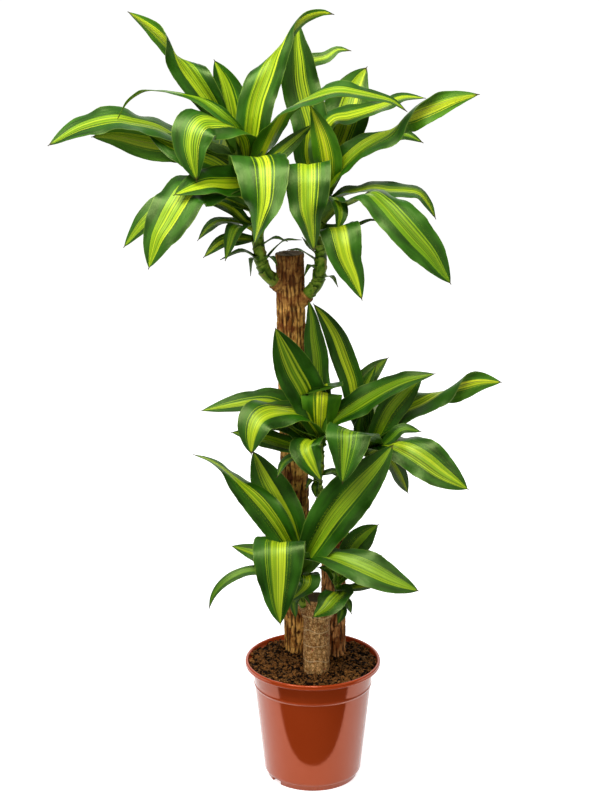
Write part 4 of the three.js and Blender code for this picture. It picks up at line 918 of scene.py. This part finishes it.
def blade_surface(name, green, lime, rib, pale, gloss):
    """A leaf side: margins, a striped middle band, a midrib, fine veins and a dry tip.

    green and lime are each a deep and a light shade, rib and pale the midrib and the base.
    """
    made, tree, out = new_material(name)
    uv = add(tree, "UVMap", uv_map="blade")
    place = add(tree, "SeparateXYZ", {0: uv})
    across, along = place.outputs[0], place.outputs[1]
    number = add(tree, "Attribute", attribute_name="leaf_number").outputs["Fac"]
    dry_from = add(tree, "Attribute", attribute_name="dry_from").outputs["Fac"]

    # No two leaves have the same band: its width and place are drawn from the leaf's number.
    drawn = add(tree, "TexWhiteNoise", {"W": number}, noise_dimensions="1D")
    luck = add(tree, "SeparateColor", {0: drawn.outputs["Color"]})
    half_band = add(tree, "MapRange", {"Value": luck.outputs[0], "To Min": 0.14, "To Max": 0.225})
    middle = add(tree, "MapRange", {"Value": luck.outputs[1], "To Min": 0.46, "To Max": 0.54})
    aside = add(tree, "Math", {0: across, 1: middle}, operation="SUBTRACT")
    from_middle = add(tree, "Math", {0: aside}, operation="ABSOLUTE")
    inside = add(tree, "Math", {0: half_band, 1: from_middle}, operation="SUBTRACT")
    stripes = streaks(tree, across, along, number, 26.0, 0.35, 0.3)
    frayed = add(tree, "Math", {0: stripes, 1: 0.5, 2: inside}, operation="MULTIPLY_ADD")
    in_band = add(tree, "MapRange", {"Value": frayed, "From Min": 0.248, "From Max": 0.27})

    # Greens and limes vary in long clouds; thin green lines run the length of the band.
    cloudy = streaks(tree, across, along, number, 5.0, 4.0, 2.4)
    cloud = add(tree, "MapRange", {"Value": cloudy, "From Min": 0.36, "From Max": 0.64})
    margin = add(tree, "Mix", {0: cloud, 6: green[0], 7: green[1]}, data_type="RGBA")
    broad = add(tree, "MapRange", {"Value": streaks(tree, across, along, number, 11.0, 0.5, 5.2),
                                   "From Min": 0.38, "From Max": 0.62})
    bright = add(tree, "Mix", {0: broad, 6: lime[0], 7: lime[1]}, data_type="RGBA")
    dull = add(tree, "MapRange", {"Value": luck.outputs[2], "To Max": 0.7})
    band = add(tree, "Mix", {0: dull, 6: bright, 7: "#4c7c08"}, data_type="RGBA")
    line = add(tree, "MapRange", {"Value": streaks(tree, across, along, number, 32.0, 0.3, 1.9),
                                  "From Min": 0.53, "From Max": 0.6, "To Max": 0.75})
    lined = add(tree, "Mix", {0: line, 6: band, 7: margin}, data_type="RGBA")
    banded = add(tree, "Mix", {0: in_band, 6: margin, 7: lined}, data_type="RGBA")

    # Parallel veins, the midrib, a thin pale rim and a paler base.
    veins = streaks(tree, across, along, number, 150.0, 2.5, 4.6)
    vein = add(tree, "MapRange", {"Value": veins, "From Min": 0.4, "From Max": 0.7,
                                  "To Max": 0.18})
    veined = add(tree, "Mix", {0: vein, 6: banded, 7: green[0]}, data_type="RGBA")
    off_rib = add(tree, "Math", {0: across, 1: 0.5}, operation="SUBTRACT")
    from_rib = add(tree, "Math", {0: off_rib}, operation="ABSOLUTE")
    on_rib = add(tree, "MapRange", {"Value": from_rib, "From Min": 0.016, "From Max": 0.006,
                                    "To Max": 0.7})
    ribbed = add(tree, "Mix", {0: on_rib, 6: veined, 7: rib}, data_type="RGBA")
    on_rim = add(tree, "MapRange", {"Value": from_rib, "From Min": 0.478, "From Max": 0.492,
                                    "To Max": 0.25})
    rimmed = add(tree, "Mix", {0: on_rim, 6: ribbed, 7: "#8ea63a"}, data_type="RGBA")
    near_stem = add(tree, "MapRange", {"Value": along, "From Min": 0.2, "From Max": 0.0,
                                       "To Max": 0.75})
    based = add(tree, "Mix", {0: near_stem, 6: rimmed, 7: pale}, data_type="RGBA")

    # The very tip has dried to a brown hook.
    past = add(tree, "Math", {0: along, 1: dry_from}, operation="SUBTRACT")
    ragged = add(tree, "Math", {0: stripes, 1: 0.03, 2: past}, operation="MULTIPLY_ADD")
    dry_tip_and_shaded_top = add(tree, "MapRange", {"Value": ragged, "From Min": 0.008, "From Max": 0.026})
    whole = add(tree, "Mix", {0: dry_tip_and_shaded_top, 6: based, 7: "#33220c"}, data_type="RGBA")
    rough = add(tree, "MapRange", {"Value": cloudy, "From Min": 0.3, "From Max": 0.7,
                                   "To Min": gloss, "To Max": gloss + 0.1})
    ridges = add(tree, "Bump", {"Height": veins, "Strength": 0.3, "Distance": 0.0004})
    waves = streaks(tree, across, along, number, 9.0, 14.0, 6.1)
    bump = add(tree, "Bump", {"Height": waves, "Strength": 0.5, "Distance": 0.0012,
                              "Normal": ridges})
    shader = add(tree, "BsdfPrincipled", {"Base Color": whole, "Roughness": rough, "IOR": 1.45,
                                          "Specular IOR Level": 0.85,
                                          "Specular Tint": (0.74, 1.0, 0.34, 1.0), "Normal": bump})
    tree.links.new(shader.outputs[0], out.inputs[0])
    return made


# Upper side: waxy, so it takes a broad soft sheen, with dark green margins and a lime band.
leaf_top = blade_surface("waxy upper leaf side", ("#0b3200", "#1f5400"), ("#80a002", "#c8d620"),
                         "#6a9010", "#557a18", 0.4)
# Underside: duller and yellower, with an olive midrib; its colours are also painted brighter,
# as a painted glow for light shining through the thin blade.
underside_with_painted_glow = blade_surface("dull leaf underside, painted brighter", ("#285c02", "#4a8008"), ("#c6d806", "#eef02a"),
                           "#85803a", "#688424", 0.5)
# Small old scale leaves at the foot of a shoot: tougher and darker, hardly banded.
scale_skin = blade_surface("old scale leaf", ("#133806", "#24500a"), ("#527808", "#6f8c14"),
                           "#4f6a16", "#4a5a1c", 0.42)

# Stem skin: waxy green sheaths of old leaves, with painted shade at the narrow foot of each, where
# it sits in the flared edge of the one below, a torn edge that has dried pale brown, and corky
# where the stem leaves the bark.
stem_skin, tree, out = new_material("green shoot stem")
where = add(tree, "TexCoord").outputs["Object"]
wrap = add(tree, "UVMap", uv_map="wrap")
share_along = add(tree, "SeparateXYZ", {0: wrap}).outputs[1]
mottle = add(tree, "TexNoise", {"Vector": where, "Scale": 130.0, "Detail": 3.0}).outputs["Fac"]
sheath = add(tree, "Attribute", attribute_name="fissure").outputs["Fac"]
patchy = add(tree, "MapRange", {"Value": mottle, "From Min": 0.35, "From Max": 0.65})
skin = add(tree, "Mix", {0: patchy, 6: "#3e6a06", 7: "#94b03a"}, data_type="RGBA")
# Painted shade: the narrow foot of each sheath, set in the flare of the one below, is darkened.
painted_shade_at_sheath_foot = add(tree, "MapRange", {"Value": sheath, "From Min": 0.45, "From Max": 0.05})
shaded = add(tree, "Mix", {0: painted_shade_at_sheath_foot, 6: skin, 7: "#142c02"}, data_type="RGBA")
edge = add(tree, "MapRange", {"Value": sheath, "From Min": 0.86, "From Max": 0.95, "To Max": 0.8})
torn = add(tree, "Mix", {0: edge, 6: shaded, 7: "#8a7638"}, data_type="RGBA")
near_bark = add(tree, "MapRange", {"Value": share_along, "From Min": 0.12, "From Max": 0.02})
corky = add(tree, "Mix", {0: near_bark, 6: torn, 7: "#5a4420"}, data_type="RGBA")
bump = add(tree, "Bump", {"Height": mottle, "Strength": 0.3, "Distance": 0.0006})
shader = add(tree, "BsdfPrincipled", {"Base Color": corky, "Roughness": 0.5,
                                      "Specular IOR Level": 0.35,
                                      "Specular Tint": (0.78, 1, 0.3, 1), "Normal": bump})
tree.links.new(shader.outputs[0], out.inputs[0])


def tube(bm, line, radius_at, around, along):
    """A closed rod; radius_at(run, turn) gives its radius and the value of its "fissure"."""
    layer = bm.verts.layers.float["fissure"]
    depths = {}

    def on_tube(turn, share):
        way = line.along(share)
        side = Vector((1, 0, 0)).cross(way).cross(way).normalized() * -1
        front = way.cross(side)
        reach, depth = radius_at(share * line.length, turn)
        point = (line.at(share) + reach * (side * math.cos(turn) + front * math.sin(turn))) * MM
        depths[tuple(round(c, 6) for c in point)] = depth
        return point

    verts = rolled(bm, around, along, on_tube)
    for vert in verts:
        vert[layer] = depths.get(tuple(round(c, 6) for c in vert.co), 0)
    bmesh.ops.holes_fill(bm, edges=list({e for v in verts for e in v.link_edges if e.is_boundary}),
                         sides=0)


for order, (name, spec) in enumerate(SHOOTS.items()):
    short = name.replace("shoot_", "")
    stem_line = Line(spec["stem"])
    low, high = spec["thick"]

    # The bark swells into a rough collar where the shoot broke out.
    def collar_radius(run, turn):
        share = run / collar.length
        rough = 0.7 * noise.noise(Vector((3 * math.cos(turn), 3 * math.sin(turn),
                                          run / 5 + order)))
        lips = 0.4 * math.exp(-(((run / 6.5 + 0.2 * math.sin(turn)) % 1 - 0.5) / 0.2) ** 2)
        taper = COLLAR_RADIUS - (COLLAR_RADIUS - low - 1.4) * share
        return taper + rough + lips, 0.45 - lips + rough * 0.5

    collar = Line([spec["stem"][0], spec["stem"][1]])
    bm = bmesh.new()
    bm.verts.layers.float.new("fissure")
    bm.loops.layers.uv.new("wrap")
    tube(bm, collar, collar_radius, 40, 10)
    bmesh.ops.recalc_face_normals(bm, faces=bm.faces)
    stub = new_piece("collar_" + short, bm, BARK[spec["cane"]])
    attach(stub, "root")

    # Worn leaf sheaths clasp the stem one above the other; each is higher on its own side
    # and flares at its torn edge.
    def stem_radius(run, turn):
        level = run / SHEATH_SPACING + 0.25 * math.sin(run / 9 + order)
        sheath = (level + 0.4 * math.sin(turn - 2.4 * level) + 0.07 * math.sin(5 * turn)) % 1
        taper = low + (high - low) * run / stem_line.length
        return taper - 0.6 + 1.7 * sheath ** 3, sheath

    bm = bmesh.new()
    bm.verts.layers.float.new("fissure")
    bm.loops.layers.uv.new("wrap")
    tube(bm, stem_line, stem_radius, 24, round(stem_line.length / STEM_CELL))
    bmesh.ops.recalc_face_normals(bm, faces=bm.faces)
    stem = new_piece("stem_" + short, bm, stem_skin)
    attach(stem, "root")
    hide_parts(name)

    bm = bmesh.new()
    bm.loops.layers.uv.new("blade")
    bm.verts.layers.float.new("leaf_number")
    bm.verts.layers.float.new("dry_from")
    for number, one in enumerate(LEAVES[name]):
        grow(bm, one, MOST_LEAVES * order + number, stem_line)
    # Materials of the upper and under sides: of a blade, then of a scale leaf.
    leaves = new_piece("leaves_" + short, bm, leaf_top, underside_with_painted_glow, scale_skin, scale_skin)
    thick = leaves.modifiers.new("blade thickness", "SOLIDIFY")
    thick.thickness = BLADE_THICKNESS * MM
    thick.offset = -1
    thick.material_offset = 1
    solid = bpy.data.meshes.new_from_object(
        leaves.evaluated_get(bpy.context.evaluated_depsgraph_get()))
    leaves.modifiers.clear()
    leaves.data = solid
    solid.shade_smooth()
    solid.set_sharp_from_angle(angle=math.radians(55))
    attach(leaves, "root")
    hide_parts(name)
